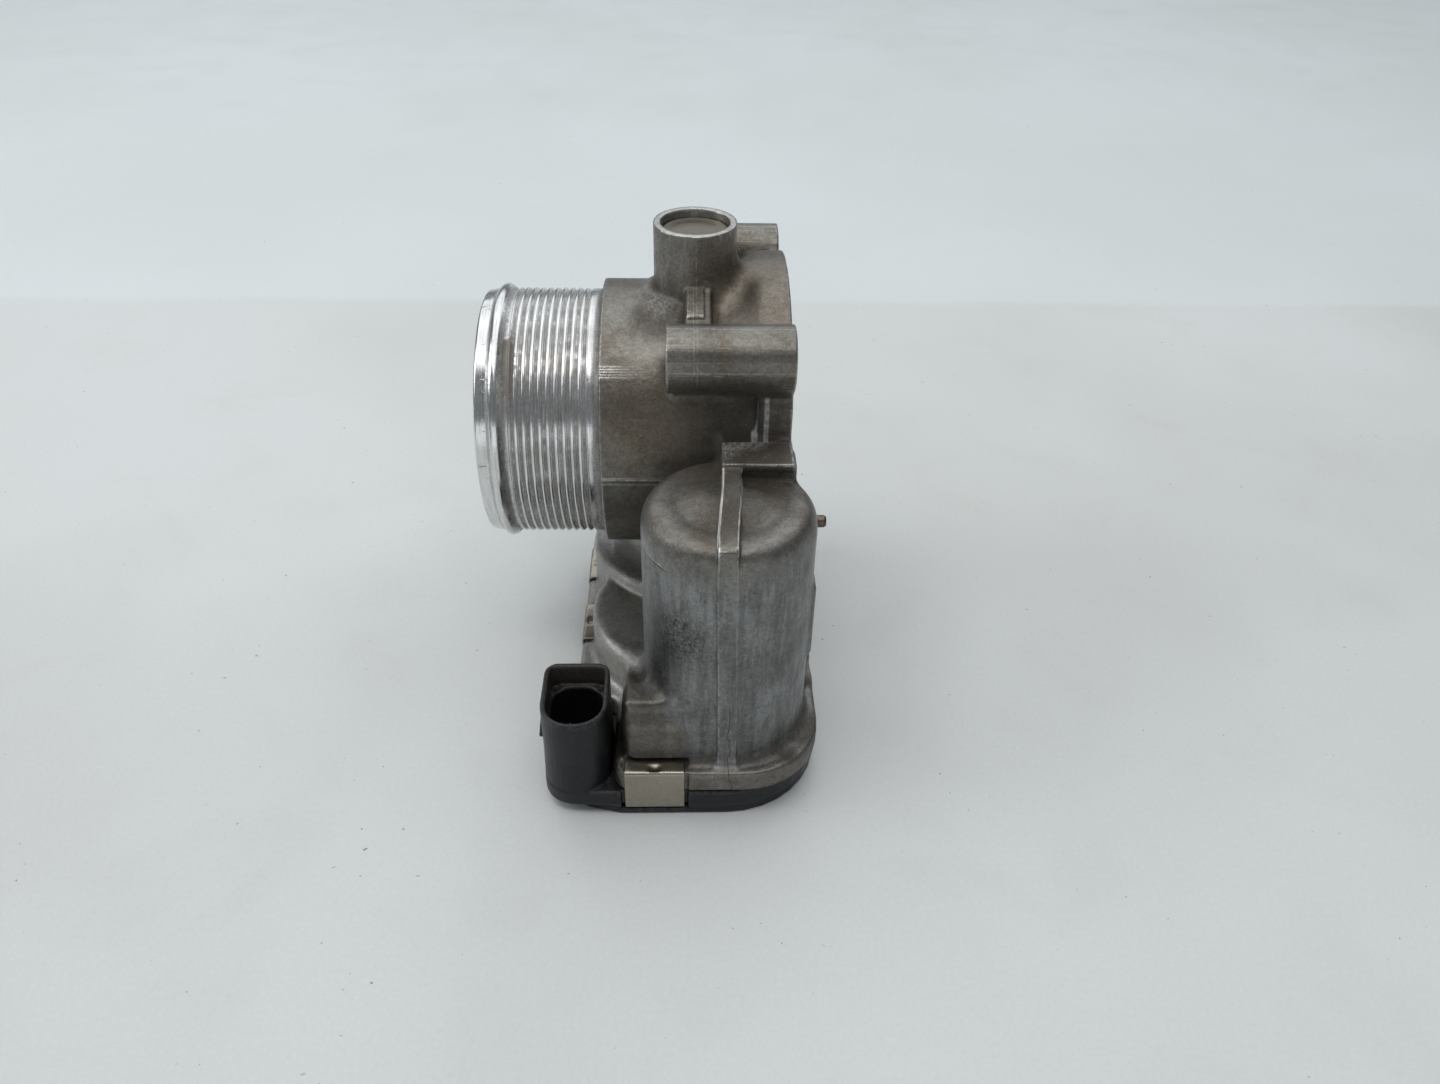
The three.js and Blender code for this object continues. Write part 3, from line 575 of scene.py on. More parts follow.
    # A painted highlight: bright sparkle at the foot of the shaft boss.
    boss_foot_sparkle = s.mul(s.blob(-9, -6, 117, 2, 7, ragged), 0.6)
    boss_foot_sparkle = s.most(s.blob(-8.5, -8.5, 105.5, 1.5, 5, ragged), boss_foot_sparkle)
    boss_foot_sparkle = s.mul(boss_foot_sparkle, s.ramp(s.noise(0.8, 4, 0.8), 0.40, 0.62))
    colour = s.mix(s.mul(boss_foot_sparkle, 0.35), colour, (0.52, 0.52, 0.51))
    # Rubbed edges show clean metal, and the lightening also paints highlights along the edges.
    edge_lightening = s.ramp(s.add(edge, s.mul(s.less(0.5, patch), 0.10)), 0.412, 0.335)
    edge_lightening = s.mul(edge_lightening, s.ramp(s.noise(0.9, 4, 0.75), 0.36, 0.58))
    colour = s.mix(s.mul(edge_lightening, 0.7), colour, (0.50, 0.49, 0.47))
    scratch = s.ramp(s.noise(0.9, 2, 0.5, 0.3, stretch=(1.0, 1.0, 0.06)), 0.68, 0.72)
    across = s.ramp(s.noise(0.8, 2, 0.5, 0.3, stretch=(0.5, 0.5, 0.12)), 0.69, 0.73)
    scratch = s.mul(s.add(scratch, across), s.ramp(patch, 0.52, 0.62))
    colour = s.mix(s.mul(scratch, 0.3), colour, (0.36, 0.355, 0.34))
    # The die's parting lines, raised and rubbed, with a painted highlight along them. The rib's edges carry
    # painted highlights, brighter on the left.
    outside = s.fade(s.radius(s.y, s.z, 0, BORE_Z), 34.5, 35)
    duct_line = s.mul(s.near(s.z, BORE_Z + 0.4, 0.13, 0.2), s.between(s.x, -23.0, -7.5, 1.5))
    boss_line = s.mul(s.mul(s.near(s.x, 0.35, 0.07, 0.16), s.between(s.z, 100, 121, 3)), 0.3)
    fall = s.math("POWER", 2.718, s.math("MULTIPLY", s.add(s.x, 0.6 * MM), -0.85 / MM))
    turned_z = s.less(s.z, s.mul(fall, 5.2 * MM))
    sleeve_line = s.mul(s.near(turned_z, SLEEVE_LINE_Z, 0.10, 0.2), s.between(s.x, -0.55, 5.5, 1.2))
    sleeve_line = s.mul(sleeve_line, s.fade(s.y, -38.5, -39))
    above = s.mul(s.near(s.x, -0.45, 0.07, 0.16), s.between(s.z, 103.6, 111, 0.8))
    sleeve_line = s.mul(s.add(sleeve_line, above), 0.6)
    lean = s.mul(s.fade(s.z, 20, 78, 0.45, 1.0), RIB_LEAN * MM)
    rib_x = s.add(s.x, s.mul(lean, s.fade(s.y, -49, -77)))
    left, right = s.near(rib_x, RIB_X[0] + 0.12, 0.14, 0.22), s.near(rib_x, RIB_X[1] - 0.1, 0.07, 0.2)
    barrel_front = s.fade(s.y, -74, -76)
    barrel_rib_highlight = s.mul(s.add(left, s.mul(right, 0.55)), s.between(s.z, 16, 77, 2), barrel_front)
    wander = s.less(s.noise(7, 2, 0.5, stretch=(0.01, 0.01, 1)), 0.5)
    seam_x = s.add(s.x, s.mul(wander, 5 * MM))
    seam = s.mul(s.near(seam_x, 8.4, 0.05, 0.12), s.between(s.z, 8, 34, 1), barrel_front)
    on_top = s.mul(s.fade(s.z, 79, 80), s.between(s.y, -77.5, -49.2, 0.3))
    rib_top_highlight = s.mul(s.add(s.mul(left, 1.5), s.mul(right, 0.8)), on_top)
    rib_top_highlight = s.mul(rib_top_highlight, s.ramp(s.noise(1.2, 4, 0.8), 0.3, 0.5, 0.45, 1.0))
    front = s.fade(s.y, -3, -6)
    line = s.add(s.mul(s.add(duct_line, boss_line, sleeve_line), front), s.mul(barrel_rib_highlight, 0.75))
    line = s.mul(line, outside, s.ramp(s.noise(3, 4, 0.7), 0.35, 0.6, 0.12, 1.0))
    colour = s.mix(s.mul(line, 0.7), colour, (0.46, 0.45, 0.43))
    # Painted highlight on the rib's top edges.
    colour = s.mix(s.mul(rib_top_highlight, 0.9), colour, (0.68, 0.67, 0.64))
    # Painted shadow under the duct's parting line, and the dark seam down the barrel's front.
    duct_line_shadow = s.mul(s.near(s.z, BORE_Z - 0.15, 0.1, 0.25), s.between(s.x, -23.2, -7.5, 1.5))
    shadow_and_seam = s.most(s.mul(duct_line_shadow, front, outside, 0.7), s.mul(seam, 0.8))
    colour = s.mix(s.mul(shadow_and_seam, 0.9), colour, (0.035, 0.03, 0.025))
    # Painted shade: the duct below its parting line is darkened.
    lower_duct_shade = s.mul(s.fade(s.z, BORE_Z, BORE_Z - 1), s.fade(s.x, -6, -9), front)
    colour = s.tint(colour, s.rest(s.mul(lower_duct_shade, 0.28)))
    # Faces that a cutter has gone over.
    rings = s.noise(0.5, 2, 0.5, 0, stretch=(0.3, 1, 1))
    cutter = s.mix(s.ramp(mottle, 0.3, 0.7), (0.33, 0.325, 0.31), (0.50, 0.49, 0.47))
    cutter = s.mix(s.mul(s.ramp(patch, 0.45, 0.75), 0.4), cutter, (0.20, 0.175, 0.14))
    colour = s.mix(machined, colour, cutter)
    height = s.add(s.mul(grain, 0.6), s.mul(s.noise(1.3, 3, 0.6), 0.5), s.mul(fine, 0.2))
    as_cast = s.rest(machined)
    height = s.add(s.mul(height, s.add(s.mul(as_cast, 0.9), 0.1)), s.mul(line, 0.9))
    height = s.add(height, s.mul(rings, machined, 0.12))
    rough = s.add(s.ramp(patch, 0.35, 0.65, 0.33, 0.44), s.mul(dirt_and_shade, 0.28))
    rough = s.less(rough, s.mul(s.add(fleck_and_glint, edge_lightening), 0.14))
    metal = s.ramp(dirt_and_shade, 0, 1, 0.92, 0.35)
    return s.set(Base_Color=colour, Metallic=metal, Roughness=rough, Normal=s.bump(height, 0.15, 1.0))


def machined_aluminium():
    s = Surface("machined_aluminium")
    r = s.radius(s.y, s.z, 0, BORE_Z)
    turning = s.noise(0.16, 2, 0.5, 0, stretch=(1, 0.02, 0.02))
    fine = s.noise(0.5, 3, 0.6, 0, stretch=(1, 0.05, 0.05))
    patch = s.noise(6, 4, 0.6, 0.5)
    small = s.noise(1.3, 5, 0.7, 0.4)
    colour = s.mix(s.ramp(turning, 0.3, 0.7), (0.60, 0.605, 0.605), (0.84, 0.845, 0.84))
    colour = s.mix(s.ramp(patch, 0.45, 0.7, 0, 0.35), colour, (0.50, 0.46, 0.40))
    # Dirt and painted shade in the grooves and in front of the bead.
    groove = s.attribute("groove")
    dirt_and_shade = s.mul(groove, s.ramp(s.noise(2.6, 5, 0.7, 0.4, stretch=(0.6, 1, 1)), 0.36, 0.58, 0.45, 1.0))
    colour = s.mix(s.mul(dirt_and_shade, 0.72), colour, (0.10, 0.082, 0.062))
    spot = s.mul(s.ramp(s.noise(1.5, 6, 0.8, 1.0), 0.66, 0.71), s.ramp(s.noise(9, 2), 0.42, 0.6))
    colour = s.mix(s.mul(spot, 0.9), colour, (0.035, 0.03, 0.026))
    # The scorched-looking patch beside the bead, near the top.
    px = s.less(s.x, -46.3 * MM)
    py = s.less(s.y, -20.5 * MM)
    ragged = s.mul(s.less(s.noise(2.2, 4, 0.6), 0.5), 3.4 * MM)
    reach = s.math("SQRT", s.add(s.mul(px, px), s.mul(py, py, 0.07)))
    upper = s.fade(s.z, 84, 86)
    blot = s.mul(s.fade(s.add(reach, ragged), 2.3, 1.5), upper)
    colour = s.mix(s.mul(blot, 0.75), colour, (0.16, 0.135, 0.11))
    inside = s.fade(r, 30.4, 30.1)
    # Soot round the plate.
    soot = s.mul(inside, s.fade(s.math("ABSOLUTE", s.add(s.x, 4 * MM)), 14, 3))
    soot = s.mul(soot, s.ramp(patch, 0.3, 0.6, 0.4, 0.85))
    colour = s.mix(soot, colour, (0.10, 0.085, 0.07))
    nick = s.ramp(s.noise(1.0, 3, 0.6, 0.5, stretch=(0.25, 1, 1)), 0.655, 0.70)
    nick = s.mul(nick, s.add(s.between(s.x, -55, -50.5, 0.3), 0.2))
    colour = s.mix(s.mul(nick, 0.6), colour, (0.13, 0.115, 0.1))
    rough = s.add(s.ramp(small, 0.3, 0.7, 0.13, 0.26), s.mul(s.add(dirt_and_shade, blot), 0.32))
    height = s.add(s.mul(turning, 0.35), s.mul(fine, 0.5), s.mul(nick, -1.2))
    metal = s.rest(s.mul(s.add(dirt_and_shade, blot, spot), 0.5), clamp=True)
    s.set(Base_Color=colour, Metallic=metal, Roughness=rough, Anisotropic=0.35)
    return s.set(Normal=s.bump(height, 0.035, 0.8))


def black_plastic():
    s = Surface("black_plastic")
    patch = s.noise(9, 4, 0.6, 0.4)
    dust = s.noise(0.8, 5, 0.75)
    colour = s.mix(s.ramp(patch, 0.3, 0.7), (0.0055, 0.006, 0.0075), (0.011, 0.0118, 0.0138))
    lying = s.tree.nodes.new("ShaderNodeNewGeometry").outputs["Normal"]
    split = s.tree.nodes.new("ShaderNodeSeparateXYZ")
    s.tree.links.new(lying, split.inputs[0])
    up = s.ramp(split.outputs[2], 0.3, 0.95)
    settled = s.mul(s.ramp(dust, 0.45, 0.7), s.add(s.mul(up, 0.6), 0.12))
    colour = s.mix(s.mul(settled, 0.45), colour, (0.16, 0.145, 0.125))
    # The mouth of the socket is dusty inside.
    mouth = s.mul(s.attribute("mouth"), s.fade(s.z, 23.4, 27))
    colour = s.mix(s.mul(mouth, s.ramp(dust, 0.3, 0.65, 0.4, 0.8)), colour, (0.088, 0.075, 0.062))
    edge = s.attribute("edge")
    edge_lightening = s.mul(s.ramp(edge, 0.44, 0.34), s.ramp(s.noise(1.5, 4), 0.35, 0.6))
    colour = s.mix(s.mul(edge_lightening, 0.35), colour, (0.07, 0.073, 0.078))
    scratch = s.ramp(s.noise(0.8, 2, 0.5, 0.4, stretch=(0.12, 0.8, 1.0)), 0.68, 0.72)
    colour = s.mix(s.mul(scratch, 0.3), colour, (0.08, 0.08, 0.08))
    grain = s.noise(0.25, 2, 0.5)
    rough = s.add(s.ramp(patch, 0.3, 0.7, 0.30, 0.44), s.mul(settled, 0.3))
    s.set(Base_Color=colour, Roughness=rough, Specular_IOR_Level=0.32)
    return s.set(Normal=s.bump(grain, 0.03, 0.6))


def plated(name, light, dark, rough=(0.22, 0.36), brushed=(1, 1, 0.1), amount=0.4, relief=0.02):
    """Brushed metal with some tarnish."""
    s = Surface(name)
    lines = s.noise(0.35, 3, 0.6, 0, stretch=brushed)
    patch = s.noise(5, 4, 0.6, 0.5)
    fine = s.noise(0.7, 4, 0.7)
    colour = s.mix(s.ramp(lines, 0.3, 0.7), dark, light)
    colour = s.mix(s.mul(s.ramp(patch, 0.48, 0.66), amount), colour, (0.16, 0.12, 0.08))
    colour = s.tint(colour, s.ramp(fine, 0.3, 0.7, 0.97, 1.03))
    gloss = s.ramp(fine, 0.3, 0.7, *rough)
    return s.set(Base_Color=colour, Metallic=1.0, Roughness=gloss, Normal=s.bump(lines, relief, 0.5))


def moulded(name, light, dark, rough=(0.4, 0.6), metallic=0.0):
    s = Surface(name)
    patch = s.noise(4, 4, 0.6)
    fine = s.noise(0.4, 3, 0.6)
    colour = s.mix(s.ramp(patch, 0.3, 0.7), dark, light)
    colour = s.tint(colour, s.ramp(fine, 0.3, 0.7, 0.9, 1.08))
    dull = s.ramp(patch, 0.3, 0.7, *rough)
    return s.set(Base_Color=colour, Metallic=metallic, Roughness=dull, Normal=s.bump(fine, 0.03, 0.5))


CAST = cast_aluminium()
MACHINED = machined_aluminium()
PLASTIC = black_plastic()
CLIP = plated("clip_steel", (0.345, 0.315, 0.262), (0.33, 0.30, 0.25), (0.27, 0.3), (0.06, 1, 1), 0.12, 0.004)
STEEL = plated("steel", (0.48, 0.47, 0.45), (0.34, 0.33, 0.31))
PIN = plated("pin_steel", (0.20, 0.16, 0.13), (0.12, 0.095, 0.075), rough=(0.35, 0.5), amount=0.6)
CAP = plated("cap_steel", (0.21, 0.192, 0.158), (0.145, 0.13, 0.104), rough=(0.34, 0.5), amount=0.5)
PLATE = plated("plate_alloy", (0.50, 0.48, 0.43), (0.36, 0.34, 0.30), brushed=(1, 0.08, 1), amount=0.5)
BRASS = plated("terminal_brass", (0.62, 0.47, 0.24), (0.45, 0.32, 0.15))
COPPER = plated("winding_copper", (0.55, 0.28, 0.15), (0.38, 0.18, 0.09))
NYLON = moulded("gear_nylon", (0.62, 0.56, 0.42), (0.52, 0.46, 0.33))
RUBBER = moulded("seal_rubber", (0.02, 0.02, 0.02), (0.012, 0.012, 0.012), (0.6, 0.8))
FERRITE = moulded("magnet_ferrite", (0.05, 0.05, 0.052), (0.03, 0.03, 0.032), (0.4, 0.6), 0.3)
BOARD = moulded("board_laminate", (0.03, 0.17, 0.07), (0.02, 0.11, 0.045), (0.3, 0.45))


# ------------------------------------------------------------------ the casting
RIM = [
    (-20.5, -81.1, 5),
    (32, -81.1, 20),
    (32, 34, 18),
    (-31.5, 34, 18),
    (-31.5, -54, 5),
    (-20.5, -54, 2),
]
EAR_TURNS = [math.radians(a) for a in (186, 30)]
EARS = [(MOTOR[0] + 21.5 * math.cos(a), MOTOR[1] + 21.5 * math.sin(a)) for a in EAR_TURNS]


def clip_box(name, x0, x1, y0, y1, z0, z1):
    """A box drawn at a clip facing -Y, turned to the clip's place."""
    cx, cy, facing = CLIPS[name]
    turn = math.radians(facing + 90)
    xs, ys = [], []
    for x, y in ((x0, y0), (x1, y1)):
        xs.append(cx + x * math.cos(turn) - y * math.sin(turn))
        ys.append(cy + x * math.sin(turn) + y * math.cos(turn))
    return block((min(xs), min(ys), z0), (max(xs), max(ys), z1))


def clip_rooms(f):
    """The recess and the slots that each clip lies in."""
    for name in CLIPS:
        f.cut(clip_box(name, -8.35, 8.35, -2, 0.65, CLIP_FOOT - 0.3, CLIP_TOP))
        f.cut(clip_box(name, -8.35, 8.35, -2, 5.3, CLIP_TOP - 0.9, CLIP_TOP + 0.6))
        f.cut(clip_box(name, -8.35, 8.35, -2, 3.7, CLIP_FOOT - 0.3, CLIP_FOOT + 0.9))


def make_casting():
    step = 0.48
    f = Field((-33.6, -83, 6.9), (35, 42.2, 126.5), step)
    f.join(rod("x", (0, BORE_Z), DUCT_R, STEP_X - 2, FLANGE_X + 2))
    # Flange plate: a disc with its sides and foot cut flat, and its back edge well rounded.
    def plate(x, y, z):
        flat = np.maximum(np.maximum(np.hypot(y, z - BORE_Z) - FLANGE_R, np.abs(y) - 36.4), 30.2 - z)
        return extruded(flat, x, 14.9, FLANGE_X + 9, 2.6)

    f.join((plate, [14.9, -36.4, 30], [FLANGE_X + 2, 36.4, 113]), 3.0)
    # The wall thickens towards the flange above the upper sleeves.
    swell = flowing([(35.4, -1), (35.9, 2), (37.3, 5.5), (39.1, 9.5), (40.6, 13.5), (41.7, 18), (42, 24)])
    cone, lo, hi = turned("x", (0, BORE_Z), [(0, -1)] + swell + [(0, 24)])
    lo[2] = 96
    f.join((lambda x, y, z: np.maximum(cone(x, y, z), 97 - z), lo, hi), 4.0)
    for y, z in BOLTS:
        f.join(rod("x", (y, z), SLEEVE_R, -9, FLANGE_X + 2), 2.2)
        away = Vector((y, z - BORE_Z)).normalized()
        side = Vector((-away.y, away.x)) * 5.2
        ends = [away * 30 + side, away * 44 + side, away * 44 - side, away * 30 - side]
        f.join(prism("x", [(p.x, BORE_Z + p.y) for p in ends], -5.5, FLANGE_X - 1), 2.5)
    f.join(rod("z", (0, 0), 10.4, 92, 128), 7.5)
    for s in (-1, 1):
        rib = [(8, 112.0), (13, 110.4), (20, 107.8), (27, 105.6), (31, 104), (31, 95), (8, 98)]
        f.join(prism("x", [(s * y, z) for y, z in rib], -2.6, 3.9, 0.8), 1.4)
        pad = [(10, 112.1), (20.2, 108.5), (20.2, 104), (10, 104)]
        f.join(prism("x", [(s * y, z) for y, z in pad], -2.3, 2.2, 0.2), 0.2)
    # Motor barrel. Its closed end has a raised middle, a shallow valley and a rounded shoulder.
    end = [(0, 82.2), (4, 82.1), (7, 81.5), (9.5, 80.5), (12, 79.9), (14.5, 79.9), (17, 79.6), (18.9, 78.6)]
    end = flowing(end + [(20.15, 76.7), (20.6, 74.3), (BARREL_R, 71)])
    f.join(turned("z", MOTOR, end + [(BARREL_R, 9), (0, 9)]), 2.6)
    front = MOTOR[1] - BARREL_R
    over = [(-43, 83.9), (-48.9, 83.9), (front + 1.3, 81.1), (front + 0.2, 80.3), (front - 0.4, 78.4)]
    over += [(front - 0.4, 10), (-70, 10), (-64, 74), (-43, 74)]
    straight, lo, hi = prism("x", over, *RIB_X, 0.14)
    lo[0] -= RIB_LEAN

    def leaning(x, y, z):
        lean = np.clip((-49 - y) / 28, 0, 1) * (1 - np.clip((78 - z) / 58, 0, 1) * 0.55)
        return straight(x + RIB_LEAN * lean, y, z)

    f.join((leaning, lo, hi), 0.3)
    # The bar from the barrel's end to the flange overhangs the wall that it stands on.
    f.join(block((20.4, -48.2, 52), (FLANGE_X, -30, 84), 0.4), 0.8)
    f.join(block((6.3, -47.3, 62), (FLANGE_X, -30, 83.2), 0.5), 2.4)
    f.cut(rod("x", (-50.9, 83.7), 3.4, 11.2, 20.2, 0.8), 1.3)
    f.join(prism("x", [(-48.9, 82.8), (-40, 81), (-38.7, 84.75), (-48.9, 84.75)], 6.2, FLANGE_X, 0.3), 0.4)
    f.join(block((26.3, -61.5, 36), (29.0, -50.5, 58), 1.2), 1.0)
    # Gear case: the rim, the lobes over the gears and what ties them to the duct.
    rim = outline(RIM)
    f.join(rod("z", IDLER, 29.3, 9, 26.4, 2.6), 2.0)
    f.join(rod("z", (0, 0), 29.3, 9, 29.4, 2.6), 2.0)
    neck = flowing([(0, 27), (25.5, 27), (22.5, 30), (20, 33.5), (18.5, 37), (18, 41), (0, 41)])
    f.join(turned("z", (0, 0), neck), 4.0)
    f.join(block((2, -43, 20), (13, -22, 71), 1.0), 4.0)
    # The stepped box beside the barrel's foot, which holds the motor's contacts.
    f.join(block((-17.8, -64, 9), (3, -48, 26.3), 1.5), 3.0)
    f.join(block((-17.8, -76.7, 9), (3, -60, 28.0), 3.2), 2.6)
    f.join(block((-17.5, -73.6, 20), (2, -64.5, 31.5), 1.6), 3.2)
    f.join(rod("z", EARS[1], 4.6, 9, 23, 0.8), 1.5)
    f.join(prism("z", rim, RIM_Z0, RIM_Z1, 1.1), 2.8)
    # What the cutters took away.
    keep = [
        block((FLANGE_X, -41.5, 29.6), (60, 60, 130)),
        block((-60, -60, 30), (STEP_X, 60, 130)),
        block((-60, -60, 124.7), (60, 60, 140)),
    ]
    sleeve_ends = [rod("x", at, 9.8, -20, -7.05) for at in BOLTS]
    bore = rod("x", (0, BORE_Z), BORE_R, -70, 40)
    recess = rod("z", (0, 0), 8.6, 117.5, 130)
    for shape in keep + sleeve_ends + [recess]:
        f.cut(shape)
    crowd, edge = f.crowding(3.4), f.crowding(1.1)
    f.cut(bore)
    for y, z in BOLTS:
        f.cut(rod("x", (y, z), BOLT_HOLE_R, -20, 40))
    for shape in (
        rod("z", (0, 0), 25.4, 0, 25.5),
        rod("z", IDLER, 24.9, 0, 20),
        rod("z", MOTOR, 18.2, 0, 78),
        rod("z", MOTOR, 4.9, 77, 80.2),
        block((-15, -72.8, 0), (0, -64.5, 26)),
        rod("z", (0, 0), 5, 20, 119),
        rod("z", (0, 0), 7.5, 24, 39.5),
        rod("z", (0, 0), 7.5, 103.5, 119),
        rod("z", IDLER, 2.15, 19, 24.5),
        rod("x", PIN_AT, 1.75, 17, 40),
        block((-45, -90, 0), (-20.6, -56.5, 31)),
    ):
        f.cut(shape)
    for x, y in EARS:
        away = Vector((x - MOTOR[0], y - MOTOR[1])).normalized() * 4.3
        side = Vector((-away.y, away.x))
        start, end = Vector(MOTOR), Vector((x, y))
        ends = [start - side, end - side + away * 0.6, end + away, end + side + away * 0.6, start + side]
        f.cut(prism("z", [tuple(p) for p in ends], 0, 13.1))
        f.cut(rod("z", (x, y), 1.85, 12, 20))
    clip_rooms(f)
    verts, quads = f.surface()
    ob = mesh_from("casting", verts, quads)
    thin_out(ob, CASTING_TRIANGLES)
    co = points_of(ob)
    paint(ob, "crowd", f.sample(crowd, co))
    paint(ob, "edge", f.sample(edge, co))
    cut_by = np.full(len(co), 9.0, np.float32)
    for distance, _, _ in keep + sleeve_ends + [bore, recess]:
        cut_by = np.minimum(cut_by, np.abs(distance(co[:, 0], co[:, 1], co[:, 2])))
    paint(ob, "machined", np.clip(1.3 - cut_by / 0.25, 0, 1))
    return finish_piece(ob, CAST, "housing", ["housing"])


# ------------------------------------------------------------------ turned pieces
def lathe(name, profile, axis, centre, segments):
    """Profile points are (radius, place along the axis), and the last is joined to the first."""
    pts = np.array(profile, float)
    n = len(pts)
    a = np.arange(segments) * 2 * math.pi / segments
    u = pts[:, 0][:, None] * np.cos(a) + centre[0]
    v = pts[:, 0][:, None] * np.sin(a) + centre[1]
    t = np.repeat(pts[:, 1][:, None], segments, 1)
    stacked = {"x": (t, u, v), "z": (u, v, t)}[axis]
    verts = np.stack(stacked, -1).reshape(-1, 3)
    i = np.arange(n)[:, None]
    j = np.arange(segments)[None, :]
    nxt, step = (i + 1) % n, (j + 1) % segments
    faces = np.stack([i * segments + j, nxt * segments + j, nxt * segments + step, i * segments + step], -1)
    ob = mesh_from(name, verts, faces.reshape(-1, 4))
    bm = bmesh.new()
    bm.from_mesh(ob.data)
    bmesh.ops.remove_doubles(bm, verts=bm.verts, dist=1e-6)
    bmesh.ops.dissolve_degenerate(bm, edges=bm.edges, dist=1e-7)
    bmesh.ops.recalc_face_normals(bm, faces=bm.faces)
    bm.to_mesh(ob.data)
    bm.free()
    return ob


def rounded(points, r=0.3, steps=4):
    """The open line with each corner rounded by up to r."""
    out = []
    n = len(points)
    for i, p in enumerate(points):
        p = Vector(p)
        if i in (0, n - 1):
            out.append(tuple(p))
            continue
        a, b = Vector(points[i - 1]), Vector(points[i + 1])
        cut = min(r, (a - p).length * 0.45, (b - p).length * 0.45)
        start, end = p + (a - p).normalized() * cut, p + (b - p).normalized() * cut
        for k in range(steps + 1):
            t = k / steps
            out.append(tuple(start * (1 - t) ** 2 + p * 2 * t * (1 - t) + end * t * t))
    return out


GROOVES = [-45.2 + 1.97 * i for i in range(10)]


def make_spigot():
    outer = [(30.05, LIP_X + 0.25), (30.3, LIP_X), (31.9, LIP_X), (32.35, LIP_X + 0.5), (32.75, -51.5)]
    outer += [(33.0, -51.0), (33.75, -50.5), (34.06, -49.8), (34.06, -49.2), (33.8, -48.6), (32.6, -47.4)]
    outer += [(32.4, -47.0), (32.4, -46.3)]
    for g in GROOVES:
        outer += [(32.92, g - 0.7), (32.1, g - 0.14), (32.1, g + 0.14), (32.92, g + 0.7)]
    outer += [(32.76, GROOVES[-1] + 0.9), (32.76, STEP_X + 0.06)]
    line = rounded(outer, 0.24, 3) + [(30.02, STEP_X + 0.06)]
    pts = []
    for a, b in zip(line, line[1:] + line[:1]):
        parts = max(1, int(math.dist(a, b) / 1.5))
        pts += [(a[0] + (b[0] - a[0]) * k / parts, a[1] + (b[1] - a[1]) * k / parts) for k in range(parts)]
    ob = lathe("hose_spigot", pts, "x", (0, BORE_Z), 224)
    co = points_of(ob)
    r = np.hypot(co[:, 1], co[:, 2] - BORE_Z)
    # Small dents round the lip, from handling.
    angle = np.arctan2(co[:, 2] - BORE_Z, co[:, 1])
    for _ in range(16):
        a = rng.uniform(-math.pi, math.pi)
        w = rng.uniform(0.02, 0.07)
        depth = rng.uniform(0.05, 0.22)
        near = np.exp(-((np.angle(np.exp(1j * (angle - a))) / w) ** 2))
        near = near * np.exp(-(co[:, 0] - LIP_X) ** 2)
        shrink = 1 - near * depth / r * (r > 31)
        co[:, 1] *= shrink
        co[:, 2] = BORE_Z + (co[:, 2] - BORE_Z) * shrink
    ob.data.vertices.foreach_set("co", (co * MM).ravel())
    outside = r > 31
    groove = np.zeros(len(co))
    # The grooves and corners that get dirt and painted shade.
    dirt_and_shade_bands = [(g, 0.6, 1) for g in GROOVES] + [(-47.1, 0.9, 1), (-51.2, 0.5, 0.7), (STEP_X, 0.8, 0.8)]
    for x, reach, amount in dirt_and_shade_bands:
        groove = np.maximum(groove, np.clip(1 - np.abs(co[:, 0] - x) / reach, 0, 1) * amount * outside)
    paint(ob, "groove", groove)
    return finish_piece(ob, MACHINED, "housing", ["housing"])


def make_cap():
    prof = [(0, 122.3), (6.6, 122.3), (7.4, 122.45), (7.9, 122.62), (8.2, 122.6), (8.34, 122.3)]
    prof += [(8.34, 119.2), (8.1, 119.05), (7.7, 119.05), (7.55, 119.3)]
    prof += [(7.4, 121.4), (6.6, 121.4), (0, 121.4)]
    ob = lathe("shaft_cap", rounded(prof, 0.3), "z", (0, 0), 96)
    return finish_piece(ob, CAP, "housing", ["shaft_end_cap"])


def make_pin():
    prof = [(0, 18.05), (1.3, 18.05), (1.6, 18.4), (1.6, 32.7), (1.25, 33.28), (0, 33.28)]
    ob = lathe("dowel", rounded(prof, 0.15), "x", PIN_AT, 48)
    return finish_piece(ob, PIN, "housing", ["locating_pin"])


def turn_about_z(ob, degrees):
    ob.data.transform(Matrix.Rotation(math.radians(degrees), 4, "Z"))


REST = 8  # the plate's angle at rest, in degrees


def make_throttle():
    t, r = 0.9, 29.68
    half = [(0, t), (r - 1.3, t), (r - 0.25, t - 0.55), (r, 0.15)]
    prof = half + [(u, -v) for u, v in reversed(half)]
    plate = lathe("plate", rounded(prof, 0.2), "x", (0, BORE_Z), 144)
    turn_about_z(plate, REST)
    finish_piece(plate, PLATE, "throttle", ["throttle_plate"])
    prof = [(0, 7.55), (3.5, 7.55), (3.98, 8.0), (3.98, 117.9), (3.5, 118.38), (0, 118.38)]
    rod_ob = lathe("spindle", rounded(prof, 0.2), "z", (0, 0), 72)
    finish_piece(rod_ob, STEEL, "throttle", ["throttle_shaft"])
    for name, dz in (("plate_screw_upper", 12), ("plate_screw_lower", -12)):
        prof = [(0, -5.3), (0.9, -5.3), (1.3, -6.1), (2.3, -6.15), (2.85, -5.6), (2.97, -4.9), (2.97, -4.05)]
        prof += [(1.5, -3.95), (1.5, 4.2), (1.2, 4.42), (0, 4.42)]
        screw = lathe(name + "_turned", rounded(prof, 0.15), "x", (0, BORE_Z + dz), 48)
        turn_about_z(screw, REST)
        finish_piece(screw, STEEL, "throttle", [name])


